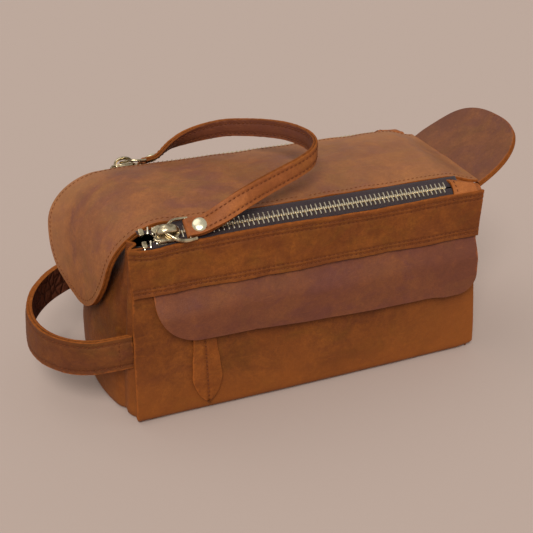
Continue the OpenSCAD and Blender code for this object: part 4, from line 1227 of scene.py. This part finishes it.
LW = lining_walls()
LW = LW + grid_normals(LW) * (0.7 * ripple(LW, 26, 121) * smooth(0, 12, WALL_H - LW[..., 2]))[..., None]
woven("main_lining_cloth", LW, 0.6, CLOTH, (20, 5), LW[20, 5] * (-1, -1, 0), "bag", ["main_lining"])
X, Y = grid(np.linspace(-129, 129, 90), np.linspace(-57.5, 63, 50))
T = np.stack([X, Y, 3.6 + 0.5 * ripple(np.stack([X, Y, X * 0], -1), 34, 123)], -1)
woven("floor_lining_cloth", T, 0.6, CLOTH, (5, 5), UP, "bag")
X, Y = grid(np.linspace(-92, 103, 90), np.linspace(-38.5, 38.5, 36))
T = np.stack([X, Y, LID_Z + crown(Y) - HIDE - 1.3 - 0.4 * ripple(np.stack([X, Y, X * 0], -1), 30, 125)], -1)
woven("lid_lining_cloth", T, 0.5, CLOTH, (5, 5), UP, "lid", ["lid_lining"])


# ---------- floor, light, camera ----------

paper = Nodes("floor_paper")
tone = paper.noise(paper.node("TexCoord").outputs["Object"], 3.0, 2.0)
paper.finish(paper.mix(paper.band(tone, 0.3, 0.7, 0.0, 0.04), (0.46, 0.362, 0.312), (0.44, 0.345, 0.297)),
             0.9, specular=0.05)
FLOOR_R = 8000.0
corners = [(x * FLOOR_R, y * FLOOR_R, 0) for x, y in ((-1, -1), (1, -1), (1, 1), (-1, 1))]
add_mesh("floor", corners, [[0, 1, 2, 3]], [paper.mat])

scene = bpy.context.scene
scene.world = bpy.data.worlds.new("studio")
scene.world.use_nodes = True
studio = scene.world.node_tree
sky = studio.nodes["Background"]
wall = studio.nodes.new("ShaderNodeBackground")      # what is seen past the floor
seen = studio.nodes.new("ShaderNodeLightPath")
either = studio.nodes.new("ShaderNodeMixShader")
for node, colour, strength in ((sky, (1.0, 0.985, 0.97, 1), 0.42), (wall, (0.509, 0.397, 0.342, 1), 1.0)):
    node.inputs["Color"].default_value = colour
    node.inputs["Strength"].default_value = strength
for socket, value in ((either.inputs[0], seen.outputs["Is Camera Ray"]), (either.inputs[1], sky.outputs[0]),
                      (either.inputs[2], wall.outputs[0]),
                      (studio.nodes["World Output"].inputs["Surface"], either.outputs[0])):
    studio.links.new(value, socket)


def lamp(name, toward, strength, angle, tint):
    """A wide, soft, distant light that shines from the direction toward."""
    data = bpy.data.lights.new(name, "SUN")
    data.angle = angle
    data.energy = strength
    data.color = tint
    ob = bpy.data.objects.new(name, data)
    scene.collection.objects.link(ob)
    ob.rotation_mode = "QUATERNION"
    ob.rotation_quaternion = (-Vector(toward)).to_track_quat("-Z", "Y")


lamp("key", (-0.45, -0.9, 1.1), 2.4, 0.5, (1.0, 0.98, 0.95))
lamp("over", (-0.6, 0.6, 1.5), 0.45, 0.8, (1.0, 0.99, 0.97))

# the photo's viewpoint: turn, rise and roll of the camera, then its distance and offsets in metres
CAM_TURN, CAM_RISE, CAM_ROLL = math.radians(21.94), math.radians(29.57), math.radians(0.64)
CAM_FAR, CAM_SIDE, CAM_UP = 0.6968, -0.00985, 0.05271
ca, sa, cp, sp = math.cos(CAM_TURN), math.sin(CAM_TURN), math.cos(CAM_RISE), math.sin(CAM_RISE)
cam_back = Vector((-sa * cp, -ca * cp, sp))
level = Vector((ca, -sa, 0))
upright = cam_back.cross(level)
cam_right = level * math.cos(CAM_ROLL) + upright * math.sin(CAM_ROLL)
cam_up = upright * math.cos(CAM_ROLL) - level * math.sin(CAM_ROLL)
cam_data = bpy.data.cameras.new("camera")
cam_data.lens = 59.47
cam_data.sensor_width = 36.0
cam_data.dof.use_dof = False
cam = bpy.data.objects.new("camera", cam_data)
scene.collection.objects.link(cam)
place = Matrix.Translation(cam_back * CAM_FAR + cam_right * CAM_SIDE + cam_up * CAM_UP)
cam.matrix_world = place @ Matrix((cam_right, cam_up, cam_back)).transposed().to_4x4()
scene.camera = cam
scene.view_settings.view_transform = "Standard"
